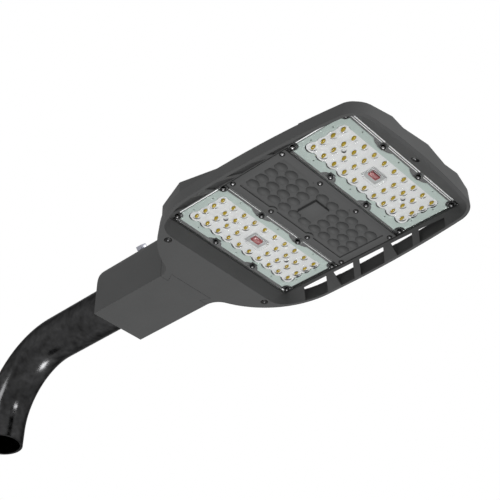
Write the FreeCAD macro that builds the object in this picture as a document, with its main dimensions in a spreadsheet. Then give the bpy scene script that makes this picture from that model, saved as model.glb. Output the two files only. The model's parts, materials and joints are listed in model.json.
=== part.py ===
"""LED street light: a bent outreach arm, a slip-on socket and a flat head with two LED modules.

Millimetres. The origin is the centre of the arm's lower end, +Z is up and +X runs from the
arm to the tip of the head. The pieces of the head are drawn about the middle of its centre
bay, with z = 0 on the underside of the deck that carries the modules, and are then placed.
"""
import FreeCAD, Part
import math
import os
import Sketcher

Vector = FreeCAD.Vector
Rotation = FreeCAD.Rotation
Placement = FreeCAD.Placement
Constraint = Sketcher.Constraint

doc = FreeCAD.newDocument("led_street_light")
dims = doc.addObject("Spreadsheet::Sheet", "dims")

SIZES = [
    ("arm_od", 60.3, "outreach arm: pipe diameter"),
    ("arm_wall", 3.6, "pipe wall"),
    ("arm_leg", 25.0, "straight upright leg below the bend"),
    ("arm_bend_radius", 103.5, "bend radius of the pipe's axis"),
    ("arm_reach", 122.0, "level run from the bend to the socket"),
    ("arm_insert", 104.0, "length of pipe inside the socket"),
    ("socket_length", 122.0, "mounting socket: length"),
    ("socket_width", 82.4, "width"),
    ("socket_corner", 23.0, "rounding of the rear upper corner"),
    ("socket_shoulder", 14.0, "rounding of the long upper edges"),
    ("bore_clearance", 0.4, "gap around the pipe"),
    ("tongue_length", 12.5, "dovetail tongue under the neck: length"),
    ("tongue_root", 56.0, "width at the socket"),
    ("tongue_front", 68.0, "width at its front"),
    ("tongue_thick", 5.0, "thickness"),
    ("seam_gap", 0.4, "gap along the seam between socket and head"),
    ("clamp_angle", 40.0, "clamp bolts: degrees from upright"),
    ("clamp_back", 49.0, "distance behind the seam"),
    ("clamp_size", 8.0, "thread diameter"),
    ("clamp_flats", 13.0, "head across flats"),
    ("clamp_head_high", 5.5, "head height"),
    ("clamp_stand", 17.2, "thread between pipe and head"),
    ("clamp_gap", 0.2, "gap between bolt and pipe"),
    ("neck_length", 210.0, "seam to the middle of the head"),
    ("axis_height", 18.8, "arm axis above the deck's underside"),
    ("rim_drop", 18.0, "rim's lower face below the deck's underside"),
    ("crest_height", 52.8, "roof of socket and housing above the deck's underside"),
    ("bay_pitch", 88.0, "spacing of the three bays"),
    ("bay_gap", 1.0, "gap between plates"),
    ("bay_length", 204.0, "plate length across the head"),
    ("edge_gap", 1.2, "gap between the plates and the frame's opening"),
    ("rim_half_width", 126.6, "rim outline: half width at the widest place"),
    ("shoulder_radius", 120.0, "rear shoulder"),
    ("shoulder_back", 79.5, "shoulder's centre behind the middle"),
    ("side_start", 55.0, "start of the side's taper behind the middle"),
    ("side_radius", 1282.0, "side's large radius"),
    ("corner_radius", 31.0, "tip corner"),
    ("tip_reach", 157.4, "middle to tip"),
    ("tip_crown", 774.0, "tip's large radius"),
    ("pleat_valley", 39.0, "pleats of the tip wall: valleys off the middle"),
    ("pleat_peak", 61.0, "outer peaks off the middle"),
    ("pleat_depth", 3.8, "reach of the peaks past the valleys"),
    ("wall_draft", 1.6, "inward lean of the rim wall over its height"),
    ("rim_wall", 3.0, "rim wall"),
    ("rim_lip", 4.0, "flat lip under the rim"),
    ("band_thick", 3.0, "rear band"),
    ("bevel_drop", 5.5, "upper edge of the sloped faces below the deck's underside"),
    ("bevel_rise", 3.2, "upright thickness of the sloped faces"),
    ("bevel_foot", 145.0, "foot of the rear slope behind the middle"),
    ("bevel_corner", 26.0, "corner rounding at the foot of the slopes"),
    ("opening_corner", 3.0, "corner rounding of the opening"),
    ("collar", 3.0, "collar around the opening"),
    ("window_long", 36.0, "long side windows: length"),
    ("window_long_start", 15.0, "start of the middle one behind the middle"),
    ("window_short", 31.5, "short side windows: length"),
    ("window_short_start", 31.5, "start of the front one past the middle"),
    ("window_skew", 13.0, "backward lean of the window ends"),
    ("frame_screw_back", 151.7, "frame screws: rear pair behind the middle"),
    ("frame_screw_side", 85.8, "rear pair off the middle"),
    ("frame_screw_tip", 143.0, "tip screw past the middle"),
    ("frame_screw_size", 4.8, "thread diameter"),
    ("frame_screw_head", 9.2, "head diameter"),
    ("frame_screw_head_high", 3.0, "head height"),
    ("frame_screw_long", 14.0, "length under the head"),
    ("frame_boss", 15.0, "boss diameter in the frame"),
    ("rear_boss_high", 6.0, "height of the rear bosses"),
    ("rear_seat_deep", 2.4, "depth of the rear screws' seats"),
    ("tip_seat_drop", 7.0, "tip screw's seat below the deck's underside"),
    ("tip_boss_high", 4.0, "frame boss above the tip screw's seat"),
    ("post_width", 9.0, "upper housing: screw posts"),
    ("deck_thick", 5.0, "deck"),
    ("deck_half", 104.5, "half width beside the windows"),
    ("deck_inset", 10.0, "housing's front edge inside the rim outline"),
    ("shoulder_inset", 1.5, "housing's rear edge inside the rim outline"),
    ("cheek_start", 76.4, "start of the housing's straight cheeks off the middle"),
    ("cheek_end", 117.0, "end of the cheeks behind the middle"),
    ("deck_flare", 70.0, "start of the wide front end past the middle"),
    ("roof_break", 172.0, "start of the roof's slope behind the middle"),
    ("roof_knee", 12.0, "roof height at the middle of the head"),
    ("roof_tip", 9.0, "roof height at the tip"),
    ("fin_back", 28.0, "start of the fins behind the middle"),
    ("fin_thick", 2.8, "fin thickness"),
    ("fin_pitch", 10.0, "fin spacing"),
    ("fin_end_wall", 12.0, "solid end in front of the fins"),
    ("room_back", 162.0, "driver room: rear wall behind the middle"),
    ("room_front", 62.0, "front wall behind the middle"),
    ("room_half", 68.0, "half width"),
    ("room_floor", 140.0, "end of its floor behind the middle"),
    ("roof_thick", 4.0, "roof thickness"),
    ("bay_seal", 2.0, "bay gasket: thickness"),
    ("bay_seal_wide", 3.0, "width, and wall under it"),
    ("bay_seal_edge", 1.0, "distance outside the driver room"),
    ("led_pitch_x", 13.9, "LED spacing along the head"),
    ("led_pitch_y", 18.2, "LED spacing across the head"),
    ("board_width", 53.0, "LED board: along the head"),
    ("board_length", 174.0, "across the head"),
    ("board_thick", 1.6, "thickness"),
    ("chip_side", 3.5, "LED chip: side"),
    ("chip_high", 0.6, "height"),
    ("gasket_width", 71.8, "lens gasket: along the head"),
    ("gasket_length", 193.5, "across the head"),
    ("gasket_thick", 2.4, "thickness"),
    ("board_gap", 0.3, "gap between board and gasket"),
    ("lens_flange", 2.4, "lens plate: thickness"),
    ("lens_width", 12.4, "lens diameter"),
    ("lens_high", 3.2, "lens height"),
    ("lens_draft", 30.0, "lens flank, degrees from upright"),
    ("square_width", 18.0, "raised square over the plug: along the head"),
    ("square_length", 25.0, "across the head"),
    ("plug_cover", 1.2, "its wall"),
    ("plate_screw_x", 36.6, "plate screws: off the bay's middle along the head"),
    ("plate_screw_mid", 32.8, "inner screws across the head"),
    ("plate_screw_end", 98.1, "outer screws across the head"),
    ("plate_screw_size", 4.0, "thread diameter"),
    ("plate_screw_head", 8.0, "head diameter"),
    ("plate_screw_head_high", 2.6, "head height"),
    ("plate_screw_grip", 3.5, "depth in the deck"),
    ("screw_clearance", 0.25, "gap around a screw"),
    ("ear_side", 9.0, "raised ears of the deck under the plates"),
    ("ear_gap", 0.6, "gap between ear and gasket"),
    ("cover_thick", 2.8, "blank cover: thickness"),
    ("cover_recess", 1.5, "depth of its field"),
    ("cover_field_width", 66.0, "field along the head"),
    ("cover_field_length", 182.0, "field across the head"),
    ("cover_ear", 15.0, "diameter of the rounded ears in the field"),
    ("boss_width", 12.9, "its oval bosses: along the head"),
    ("boss_length", 16.6, "across the head"),
    ("boss_high", 3.0, "height above the field's floor"),
    ("cover_square", 28.0, "its raised square along the head"),
    ("plug_length", 13.0, "board connector: along the board"),
    ("plug_width", 7.0, "width"),
    ("plug_high", 3.4, "height"),
    ("plug_gap", 1.0, "gap around the plug"),
    ("board_screw_size", 3.0, "board screws: thread diameter"),
    ("board_screw_head", 6.0, "head diameter"),
    ("board_screw_head_high", 0.6, "head height"),
    ("board_screw_steps", 3.0, "off the middle, in LED steps"),
    ("board_screw_grip", 3.0, "depth in the deck"),
    ("driver_back", 102.0, "driver: its middle behind the head's middle"),
    ("driver_width", 52.0, "width along the head"),
    ("driver_length", 92.0, "case length across the head"),
    ("driver_high", 19.0, "height"),
    ("driver_tab", 9.0, "fixing tab at each end"),
    ("driver_tab_thick", 3.0, "tab thickness"),
    ("driver_screw_size", 4.0, "driver screws: thread diameter"),
    ("driver_screw_head", 7.5, "head diameter"),
    ("driver_screw_head_high", 2.4, "head height"),
    ("driver_screw_grip", 3.5, "depth in the deck"),
    ("room_gap", 1.5, "gap between the pieces in the driver room"),
    ("surge_width", 38.0, "surge protector: along the head"),
    ("surge_high", 18.0, "height"),
    ("terminal_width", 28.0, "terminal block: along the head"),
    ("terminal_high", 13.0, "height"),
    ("terminal_well", 5.0, "side of its three wells"),
    ("gland_flats", 22.0, "cable gland: nut across flats"),
    ("gland_nut", 8.0, "nut length"),
    ("gland_thread", 16.0, "thread diameter"),
    ("gland_bore", 9.0, "cable hole"),
    ("gland_stem", 14.0, "stem length in the neck"),
    ("socket_screw_size", 6.0, "socket screws: thread diameter"),
    ("socket_screw_head", 10.0, "head diameter"),
    ("socket_screw_head_high", 6.0, "head height"),
    ("socket_screw_side", 16.0, "off the middle"),
    ("socket_screw_rise", 12.0, "above and below the arm axis"),
    ("socket_screw_grip", 14.0, "depth in the neck"),
]
for row, (alias, value, meaning) in enumerate(SIZES, start=1):
    dims.set("A%d" % row, meaning)
    dims.set("B%d" % row, str(value))
    dims.setAlias("B%d" % row, alias)
doc.recompute()


def size(alias):
    return float(dims.get(alias))


# Place of the head in the part's frame, as expressions of the sheet.
HEAD_X = "dims.arm_bend_radius + dims.arm_reach + dims.socket_length + dims.neck_length"
HEAD_Z = "dims.arm_leg + dims.arm_bend_radius - dims.axis_height"
REAR_BAY = "-dims.bay_pitch"
MIDDLE_BAY = "0"
FRONT_BAY = "dims.bay_pitch"

# Levels and edges that several pieces share, in the head's own frame.
seam_x = -size("neck_length")
head_rear = seam_x + size("seam_gap")
rim_z = -size("rim_drop")
plate_back_z = -size("gasket_thick")
lens_z = plate_back_z - size("lens_flange")
cover_z = plate_back_z - size("cover_thick")
plate_x = size("bay_pitch") - size("bay_gap")
opening_x = size("bay_pitch") + plate_x / 2 + size("edge_gap")
opening_y = size("bay_length") / 2 + size("edge_gap")
neck_half = size("socket_width") / 2

pieces = []


def keep(piece, label, along=MIDDLE_BAY):
    """Names a finished piece of the head and puts it in its place; along moves it down the head."""
    piece.Label = label
    piece.setExpression("Placement.Base.x", "%s + (%s)" % (HEAD_X, along))
    piece.setExpression("Placement.Base.z", HEAD_Z)
    pieces.append(piece)


def new_body(name):
    return doc.addObject("PartDesign::Body", name)


def new_sketch(body, name, role="XY_Plane", lift=0.0):
    plane = [item for item in body.Origin.OriginFeatures if item.Role == role][0]
    sketch = body.newObject("Sketcher::SketchObject", name)
    sketch.AttachmentSupport = [(plane, "")]
    sketch.MapMode = "FlatFace"
    sketch.AttachmentOffset = Placement(Vector(0, 0, lift), Rotation())
    return sketch


def extrude(kind, sketch, length, **options):
    """Pads or pockets a sketch by a length that is an expression of the sheet."""
    body = sketch.getParentGeoFeatureGroup()
    before = body.Shape.Volume if body.Tip else 0.0
    item = body.newObject("PartDesign::" + kind, kind.lower() + "_" + sketch.Name)
    item.Profile = sketch
    item.setExpression("Length", length)
    for key, value in options.items():
        setattr(item, key, value)
    doc.recompute()
    change = body.Shape.Volume - before
    if change == 0 or (change > 0) != (kind == "Pad"):
        raise ValueError("%s changes nothing" % item.Name)
    return item


def draw(sketch, points):
    """Closed outline of straight lines through the points."""
    corners = [Vector(x, y, 0) for x, y in points]
    for start, end in zip(corners, corners[1:] + corners[:1]):
        sketch.addGeometry(Part.LineSegment(start, end))


def draw_rectangle(sketch, x_size, y_size, x=0.0, y=0.0):
    draw(sketch, [(x + i * x_size / 2, y + j * y_size / 2) for i, j in ((-1, -1), (1, -1), (1, 1), (-1, 1))])


def draw_circles(sketch, centres, diameter):
    """Equal circles whose diameter is an expression of the sheet."""
    for x, y in centres:
        index = sketch.addGeometry(Part.Circle(Vector(x, y, 0), Vector(0, 0, 1), 1.0))
        rule = sketch.addConstraint(Constraint("Diameter", index, 2.0))
        sketch.setExpression("Constraints[%d]" % rule, diameter)


def mirrored(points):
    """The points and their mirror images across the head's middle plane."""
    return points + [(x, -y) for x, y in points]


def group(label, solids, along=MIDDLE_BAY):
    """Like pieces that are kept together, each one a solid of its own."""
    item = doc.addObject("Part::Feature", label)
    item.Shape = Part.makeCompound(solids)
    keep(item, label, along)


def turned(section, x, y):
    """Solid of revolution about an upright axis from its half section, given as (radius, z)."""
    points = [Vector(radius, 0, z) for radius, z in section]
    face = Part.Face(Part.makePolygon(points + points[:1]))
    solid = face.revolve(Vector(0, 0, 0), Vector(0, 0, 1), 360)
    solid.translate(Vector(x, y, 0))
    return solid


def screw(x, y, seat, name, length, up=1):
    """Pan-head screw with its head against the seat and its shank beyond; up is the way it points."""
    shank = size(name + "_size") / 2
    head = size(name + "_head") / 2
    high = size(name + "_head_high")
    section = [(0, seat + up * length), (shank, seat + up * length), (shank, seat), (head, seat),
               (head, seat - up * 0.6 * high), (0.75 * head, seat - up * high), (0, seat - up * high)]
    return turned(section, x, y)


def hexagon(flats, length):
    """Hexagonal prism along +Z."""
    radius = flats / math.sqrt(3)
    angles = [k * math.pi / 3 for k in range(6)]
    points = [Vector(radius * math.cos(a), radius * math.sin(a), 0) for a in angles]
    return Part.Face(Part.makePolygon(points + points[:1])).extrude(Vector(0, 0, length))


# Outreach arm: a pipe swept up its leg, round the bend and level into the socket.
arm = new_body("outreach_arm")
path = new_sketch(arm, "arm_path", "XZ_Plane")
leg = size("arm_leg")
bend = size("arm_bend_radius")
run = size("arm_reach") + size("arm_insert")
bend_circle = Part.Circle(Vector(bend, leg, 0), Vector(0, 0, 1), bend)
path.addGeometry(Part.LineSegment(Vector(0, 0, 0), Vector(0, leg, 0)))
path.addGeometry(Part.ArcOfCircle(bend_circle, math.pi / 2, math.pi))
path.addGeometry(Part.LineSegment(Vector(bend, leg + bend, 0), Vector(bend + run, leg + bend, 0)))
path.addConstraint(Constraint("Coincident", 0, 1, -1, 1))
path.addConstraint(Constraint("Vertical", 0))
path.addConstraint(Constraint("Tangent", 0, 2, 1, 2))
path.addConstraint(Constraint("Tangent", 1, 1, 2, 1))
path.addConstraint(Constraint("Horizontal", 2))
for kind, where, value, rule in (("DistanceY", (0, 1, 0, 2), leg, "dims.arm_leg"),
                                 ("Radius", (1,), bend, "dims.arm_bend_radius"),
                                 ("DistanceX", (2, 1, 2, 2), run, "dims.arm_reach + dims.arm_insert")):
    index = path.addConstraint(Constraint(kind, *where, value))
    path.setExpression("Constraints[%d]" % index, rule)
ring = new_sketch(arm, "arm_section")
draw_circles(ring, [(0, 0)], "dims.arm_od")
draw_circles(ring, [(0, 0)], "dims.arm_od - 2 * dims.arm_wall")
pipe = arm.newObject("PartDesign::AdditivePipe", "arm_pipe")
pipe.Profile = ring
pipe.Spine = path
arm.Label = "outreach_arm"
pieces.append(arm)

# Mounting socket: a box with rounded back and shoulders, bored for the arm, with a dovetail tongue.
socket_back = seam_x - size("socket_length")
roof_z = size("crest_height")
back_round = size("socket_corner")
axis_z = size("axis_height")
socket = new_body("mounting_socket")
side = new_sketch(socket, "socket_side", "XZ_Plane")
low_back = Vector(socket_back, rim_z, 0)
low_front = Vector(seam_x, rim_z, 0)
top_front = Vector(seam_x, roof_z, 0)
top_back = Vector(socket_back + back_round, roof_z, 0)
high_back = Vector(socket_back, roof_z - back_round, 0)
side_corners = [high_back, low_back, low_front, top_front, top_back]
for start, end in zip(side_corners, side_corners[1:]):
    side.addGeometry(Part.LineSegment(start, end))
back_circle = Part.Circle(Vector(top_back.x, high_back.y, 0), Vector(0, 0, 1), back_round)
side.addGeometry(Part.ArcOfCircle(back_circle, math.pi / 2, math.pi))
extrude("Pad", side, "dims.socket_width", SideType="Symmetric")
shoulder_round = size("socket_shoulder")
shoulders = new_sketch(socket, "socket_shoulders", "YZ_Plane", socket_back)
for sign in (-1, 1):
    flank = Vector(sign * neck_half, roof_z - shoulder_round, 0)
    corner = Vector(sign * neck_half, roof_z, 0)
    crown = Vector(sign * (neck_half - shoulder_round), roof_z, 0)
    shoulders.addGeometry(Part.LineSegment(flank, corner))
    shoulders.addGeometry(Part.LineSegment(corner, crown))
    circle = Part.Circle(Vector(crown.x, flank.y, 0), Vector(0, 0, 1), shoulder_round)
    first = 0.0 if sign > 0 else math.pi / 2
    shoulders.addGeometry(Part.ArcOfCircle(circle, first, first + math.pi / 2))
extrude("Pocket", shoulders, "dims.socket_length", Reversed=True)


def dovetail(x_root, x_front, gap):
    """Plan of the tongue, wider by the gap on each flank and at its front."""
    root = size("tongue_root") / 2 + gap
    front = size("tongue_front") / 2 + gap
    x_end = x_front + gap
    return [(x_root, -root), (seam_x, -root), (x_end, -front), (x_end, front), (seam_x, root), (x_root, root)]


tongue_front = seam_x + size("tongue_length")
tongue = new_sketch(socket, "tongue", lift=rim_z)
draw(tongue, dovetail(seam_x - 1, tongue_front, 0))
extrude("Pad", tongue, "dims.tongue_thick")
bore = new_sketch(socket, "socket_bore", "YZ_Plane", socket_back)
draw_circles(bore, [(0, axis_z)], "dims.arm_od + 2 * dims.bore_clearance")
extrude("Pocket", bore, "dims.arm_insert + dims.bore_clearance", Reversed=True)
cable_way = new_sketch(socket, "socket_cable_way", "YZ_Plane", seam_x)
draw_circles(cable_way, [(0, axis_z)], "dims.gland_thread")
extrude("Pocket", cable_way, "dims.socket_length - dims.arm_insert")
socket_screw_places = [(i * size("socket_screw_side"), axis_z + j * size("socket_screw_rise"))
                       for i in (-1, 1) for j in (-1, 1)]
socket_holes = new_sketch(socket, "socket_screw_holes", "YZ_Plane", seam_x)
draw_circles(socket_holes, socket_screw_places, "dims.socket_screw_size + 2 * dims.screw_clearance")
extrude("Pocket", socket_holes, "dims.socket_length - dims.arm_insert")


def clamp_place(sign):
    """Start of a clamp bolt on the arm's axis, with its direction along the turned Z axis."""
    turn = Rotation(Vector(1, 0, 0), -sign * size("clamp_angle"))
    return Placement(Vector(seam_x - size("clamp_back"), 0, axis_z), turn)


for sign in (-1, 1):
    clamp_hole = socket.newObject("PartDesign::SubtractiveCylinder", "clamp_hole")
    clamp_hole.setExpression("Radius", "dims.clamp_size / 2 + dims.screw_clearance")
    clamp_hole.setExpression("Height", "dims.socket_width")
    clamp_hole.AttachmentOffset = clamp_place(sign)
    clamp_hole.Placement = clamp_place(sign)
    doc.recompute()
keep(socket, "mounting_socket")

# Clamp bolts: hexagon heads on the shoulders, points against the pipe.
clamp_start = size("arm_od") / 2 + size("clamp_gap")
clamp_head = clamp_start + size("clamp_stand")
bolts = []
for sign in (-1, 1):
    shank = Part.makeCylinder(size("clamp_size") / 2, size("clamp_stand"), Vector(0, 0, clamp_start))
    head = hexagon(size("clamp_flats"), size("clamp_head_high"))
    head.translate(Vector(0, 0, clamp_head))
    bolt = shank.fuse(head)
    bolt.Placement = clamp_place(sign)
    bolts.append(bolt)
group("clamp_bolts", bolts)

# Socket screws: cap heads at the bottom of the bore, threads in the housing's neck.
bore_end = socket_back + size("arm_insert") + size("bore_clearance")
forward = Vector(1, 0, 0)
cap_screws = []
for y, z in socket_screw_places:
    seat = Vector(bore_end, y, z)
    high = size("socket_screw_head_high")
    head = Part.makeCylinder(size("socket_screw_head") / 2, high, seat - forward * high, forward)
    length = head_rear + size("socket_screw_grip") - bore_end
    cap_screws.append(head.fuse(Part.makeCylinder(size("socket_screw_size") / 2, length, seat, forward)))
group("socket_screws", cap_screws)


def unit(vector):
    return vector * (1 / vector.Length)


# Centres of the rim outline's arcs, worked out so that each arc runs smoothly into the next.
shoulder_centre = Vector(-size("shoulder_back"), size("rim_half_width") - size("shoulder_radius"), 0)
side_centre = Vector(-size("side_start"), size("rim_half_width") - size("side_radius"), 0)
tip_centre = Vector(size("tip_reach") - size("tip_crown"), 0, 0)
neck_behind = seam_x - shoulder_centre.x


def crossing(centre_a, radius_a, centre_b, radius_b):
    """The crossing of two circles that lies nearer the tip."""
    line = centre_b - centre_a
    along = (line.Length ** 2 + radius_a ** 2 - radius_b ** 2) / (2 * line.Length)
    off = math.sqrt(radius_a ** 2 - along ** 2)
    direction = unit(line)
    foot = centre_a + direction * along
    aside = Vector(-direction.y, direction.x, 0) * off
    return max([foot + aside, foot - aside], key=lambda point: point.x)


corner_centre = crossing(side_centre, size("side_radius") - size("corner_radius"),
                         tip_centre, size("tip_crown") - size("corner_radius"))


def on_arc(centre, radius, towards):
    return centre + unit(towards - centre) * radius


def arc(start, middle, end):
    return Part.Arc(start, middle, end).toShape()


def line(start, end):
    return Part.LineSegment(start, end).toShape()


def flip(point):
    return Vector(point.x, -point.y, point.z)


def closed(half):
    """Wire of a half outline, given as (start, middle or None, end) spans from the rear to the tip."""
    other = [(flip(end), middle and flip(middle), flip(start)) for start, middle, end in reversed(half)]
    spans = half + other + [(flip(half[0][0]), None, half[0][0])]
    return Part.Wire([arc(*span) if span[1] else line(span[0], span[2]) for span in spans])


def tip_point(y, inset, push=0.0):
    radius = size("tip_crown") - inset
    return Vector(tip_centre.x + math.sqrt(radius ** 2 - y ** 2) + push, y, 0)


def rim_half(inset, tip_inset, pleat, neck_x, neck_y=neck_half):
    """Half of the rim outline moved inwards, from neck_x, neck_y; pleat pushes the tip's peaks out."""
    shoulder_r = size("shoulder_radius") - inset
    across = neck_y - shoulder_centre.y
    neck_space = neck_behind ** 2 + across ** 2 - shoulder_r ** 2
    neck_r = neck_space / (2 * (shoulder_r - across))
    neck_centre = Vector(seam_x, neck_y + neck_r, 0)
    neck_drop = math.sqrt(neck_r ** 2 - (neck_x - neck_centre.x) ** 2)
    neck_start = Vector(neck_x, neck_centre.y - neck_drop, 0)
    neck_end = on_arc(shoulder_centre, shoulder_r, neck_centre)
    neck_mid = on_arc(neck_centre, neck_r, (neck_start + neck_end) * 0.5)
    shoulder_end = Vector(shoulder_centre.x, shoulder_centre.y + shoulder_r, 0)
    shoulder_mid = on_arc(shoulder_centre, shoulder_r, (neck_end + shoulder_end) * 0.5)
    side_r = size("side_radius") - inset
    side_start = Vector(side_centre.x, side_centre.y + side_r, 0)
    side_end = side_centre + unit(corner_centre - side_centre) * side_r
    side_mid = on_arc(side_centre, side_r, (side_start + side_end) * 0.5)
    corner_end = tip_centre + unit(corner_centre - tip_centre) * (size("tip_crown") - tip_inset)
    corner_r = size("corner_radius") - (inset + tip_inset) / 2
    corner_mid = on_arc(corner_centre, corner_r, (side_end + corner_end) * 0.5)
    peak = tip_point(size("pleat_peak"), tip_inset, pleat * 0.85)
    valley = tip_point(size("pleat_valley"), tip_inset)
    crest = tip_point(0, tip_inset, pleat)
    return [(neck_start, neck_mid, neck_end), (neck_end, shoulder_mid, shoulder_end),
            (shoulder_end, None, side_start), (side_start, side_mid, side_end),
            (side_end, corner_mid, corner_end), (corner_end, None, peak),
            (peak, None, valley), (valley, None, crest)]


def raised(wire, z):
    copy = wire.copy()
    copy.translate(Vector(0, 0, z))
    return copy


def loft(low, low_z, high, high_z):
    return Part.makeLoft([raised(low, low_z), raised(high, high_z)], True, True)


# Lower frame: a rim with an outward-pleated tip, hollow above, and a bowl of sloped faces round the opening.
draft = size("wall_draft")
wall = size("rim_wall")
band_z = rim_z + size("band_thick")
lean = draft * size("band_thick") / size("rim_drop")
gutter_rear = tongue_front + size("seam_gap") + wall
rim = loft(closed(rim_half(0, 0, 0, head_rear)), rim_z,
           closed(rim_half(draft, 0, size("pleat_depth"), head_rear)), 0)
gutter_half = neck_half - wall
gutter = loft(closed(rim_half(lean + wall, wall, 0, gutter_rear, gutter_half)), band_z,
              closed(rim_half(draft + wall, wall, size("pleat_depth"), gutter_rear, gutter_half)), 0)
frame = rim.cut(gutter)

lip = size("rim_lip")
foot_x = -size("bevel_foot")
foot_r = size("bevel_corner")
lip_r = size("shoulder_radius") - lip
foot_centre_x = foot_x + foot_r
foot_reach = math.sqrt((lip_r - foot_r) ** 2 - (foot_centre_x - shoulder_centre.x) ** 2)
foot_centre_y = shoulder_centre.y + foot_reach
foot_centre = Vector(foot_centre_x, foot_centre_y, 0)
foot_start = Vector(foot_x, foot_centre_y, 0)
foot_end = shoulder_centre + unit(foot_centre - shoulder_centre) * lip_r
foot_mid = on_arc(foot_centre, foot_r, (foot_start + foot_end) * 0.5 - (foot_centre - foot_start) * 0.1)
lip_rim = rim_half(lip, lip, 0, head_rear)
lip_shoulder = lip_rim[1][2]
lip_side = lip_rim[3]
lip_side_mid = on_arc(side_centre, size("side_radius") - lip, (lip_shoulder + lip_side[2]) * 0.5)
lip_corner = lip_rim[4]
lip_tip = tip_point(0, lip)
bowl_foot = [(foot_start, foot_mid, foot_end),
             (foot_end, on_arc(shoulder_centre, lip_r, (foot_end + lip_shoulder) * 0.5), lip_shoulder),
             (lip_shoulder, lip_side_mid, lip_side[2]), lip_corner, (lip_corner[2], None, lip_tip)]
round_r = size("opening_corner")
split_x = lip_shoulder.x
corner_a = Vector(-opening_x, opening_y - round_r, 0)
corner_b = Vector(-opening_x + round_r, opening_y, 0)
corner_c = Vector(opening_x - round_r, opening_y, 0)
corner_d = Vector(opening_x, opening_y - round_r, 0)
centre_ab = Vector(corner_b.x, corner_a.y, 0)
centre_cd = Vector(corner_c.x, corner_d.y, 0)
split = Vector(split_x, opening_y, 0)
bowl_mouth = [(corner_a, on_arc(centre_ab, round_r, (corner_a + corner_b) * 0.5), corner_b),
              (corner_b, None, split), (split, None, corner_c),
              (corner_c, on_arc(centre_cd, round_r, (corner_c + corner_d) * 0.5), corner_d),
              (corner_d, None, Vector(opening_x, 0, 0))]
mouth_z = -size("bevel_drop")
rise = size("bevel_rise")
foot_wire = closed(bowl_foot)
mouth_wire = closed(bowl_mouth)
foot_face = Part.Face(raised(foot_wire, rim_z))
mouth_face = Part.Face(raised(mouth_wire, mouth_z))
bowl = loft(foot_wire, rim_z, mouth_wire, mouth_z).fuse(mouth_face.extrude(Vector(0, 0, -mouth_z)))
slope = loft(foot_wire, rim_z + rise, mouth_wire, mouth_z + rise).fuse(foot_face.extrude(Vector(0, 0, rise)))
collar_x = opening_x + size("collar")
collar_y = opening_y + size("collar")
collar = Part.makeBox(2 * collar_x, 2 * collar_y, -mouth_z, Vector(-collar_x, -collar_y, mouth_z))
frame = frame.fuse([slope, collar]).cut(bowl)

window_room = foot_face.extrude(Vector(0, 0, size("rim_drop")))
skew = size("window_skew")
window_end = size("rim_half_width")


def window(start, length, start_skew):
    """Upright cutter from the collar to past the lip; its ends lean back towards the arm."""
    points = [Vector(start, collar_y, rim_z), Vector(start + length, collar_y, rim_z),
              Vector(start + length - skew, window_end, rim_z), Vector(start - start_skew, window_end, rim_z)]
    return Part.Face(Part.makePolygon(points + points[:1])).extrude(Vector(0, 0, size("rim_drop")))


bay_step = size("bay_pitch")
long_start = -size("window_long_start")
short_start = size("window_short_start")
windows = [window(long_start + k * bay_step, size("window_long"), skew) for k in (-1, 0, 1)]
windows += [window(short_start + k * bay_step, size("window_short"), 0) for k in (-1, 0)]
middle_plane = Vector(0, 1, 0)
windows += [cutter.mirror(Vector(0, 0, 0), middle_plane) for cutter in windows]
frame = frame.cut([cutter.common(window_room) for cutter in windows])

seal_in_x0 = -size("room_back") - size("bay_seal_edge")
seal_in_x1 = -size("room_floor") + size("bay_seal_edge")
seal_in_y = size("room_half") + size("bay_seal_edge")
seal_wide = size("bay_seal_wide")


def bay_ring(low_z, high_z):
    """Rectangular ring around the driver room's floor hatch."""
    high = high_z - low_z
    outer = Part.makeBox(seal_in_x1 - seal_in_x0 + 2 * seal_wide, 2 * (seal_in_y + seal_wide), high,
                         Vector(seal_in_x0 - seal_wide, -seal_in_y - seal_wide, low_z))
    inner = Part.makeBox(seal_in_x1 - seal_in_x0, 2 * seal_in_y, high, Vector(seal_in_x0, -seal_in_y, low_z))
    return outer.cut(inner)


seal_z = -size("bay_seal")
frame = frame.fuse(bay_ring(rim_z, seal_z).cut(bowl))

rear_posts = mirrored([(-size("frame_screw_back"), size("frame_screw_side"))])
tip_post = (size("frame_screw_tip"), 0.0)
boss_r = size("frame_boss") / 2
seat_r = size("frame_screw_head") / 2 + size("screw_clearance")
hole_r = size("frame_screw_size") / 2 + size("screw_clearance")
rear_boss_z = rim_z + size("rear_boss_high")
tip_seat_z = -size("tip_seat_drop")
tip_boss_z = tip_seat_z + size("tip_boss_high")
rear_seat_z = rim_z + size("rear_seat_deep")
for x, y in rear_posts:
    frame = frame.fuse(Part.makeCylinder(boss_r, size("rear_boss_high"), Vector(x, y, rim_z)))
    frame = frame.cut([Part.makeCylinder(seat_r, size("rear_seat_deep"), Vector(x, y, rim_z)),
                       Part.makeCylinder(hole_r, size("rim_drop"), Vector(x, y, rim_z))])
tip_boss = Part.makeCylinder(boss_r, tip_boss_z - rim_z, Vector(*tip_post, rim_z)).common(rim).cut(bowl)
tip_seat = Part.makeCylinder(boss_r, size("tip_boss_high"), Vector(*tip_post, tip_seat_z)).common(rim)
frame = frame.fuse([tip_boss, tip_seat])
frame = frame.cut([Part.makeCylinder(seat_r, tip_seat_z - rim_z, Vector(*tip_post, rim_z)),
                   Part.makeCylinder(hole_r, size("rim_drop"), Vector(*tip_post, rim_z))])
notch_points = [Vector(x, y, rim_z) for x, y in dovetail(seam_x - 1, tongue_front, size("seam_gap"))]
notch = Part.Face(Part.makePolygon(notch_points + notch_points[:1]))
frame = frame.cut(notch.extrude(Vector(0, 0, size("tongue_thick") + size("seam_gap"))))
lower_frame = doc.addObject("Part::Feature", "lower_frame")
lower_frame.Shape = frame.removeSplitter()
keep(lower_frame, "lower_frame")

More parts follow.
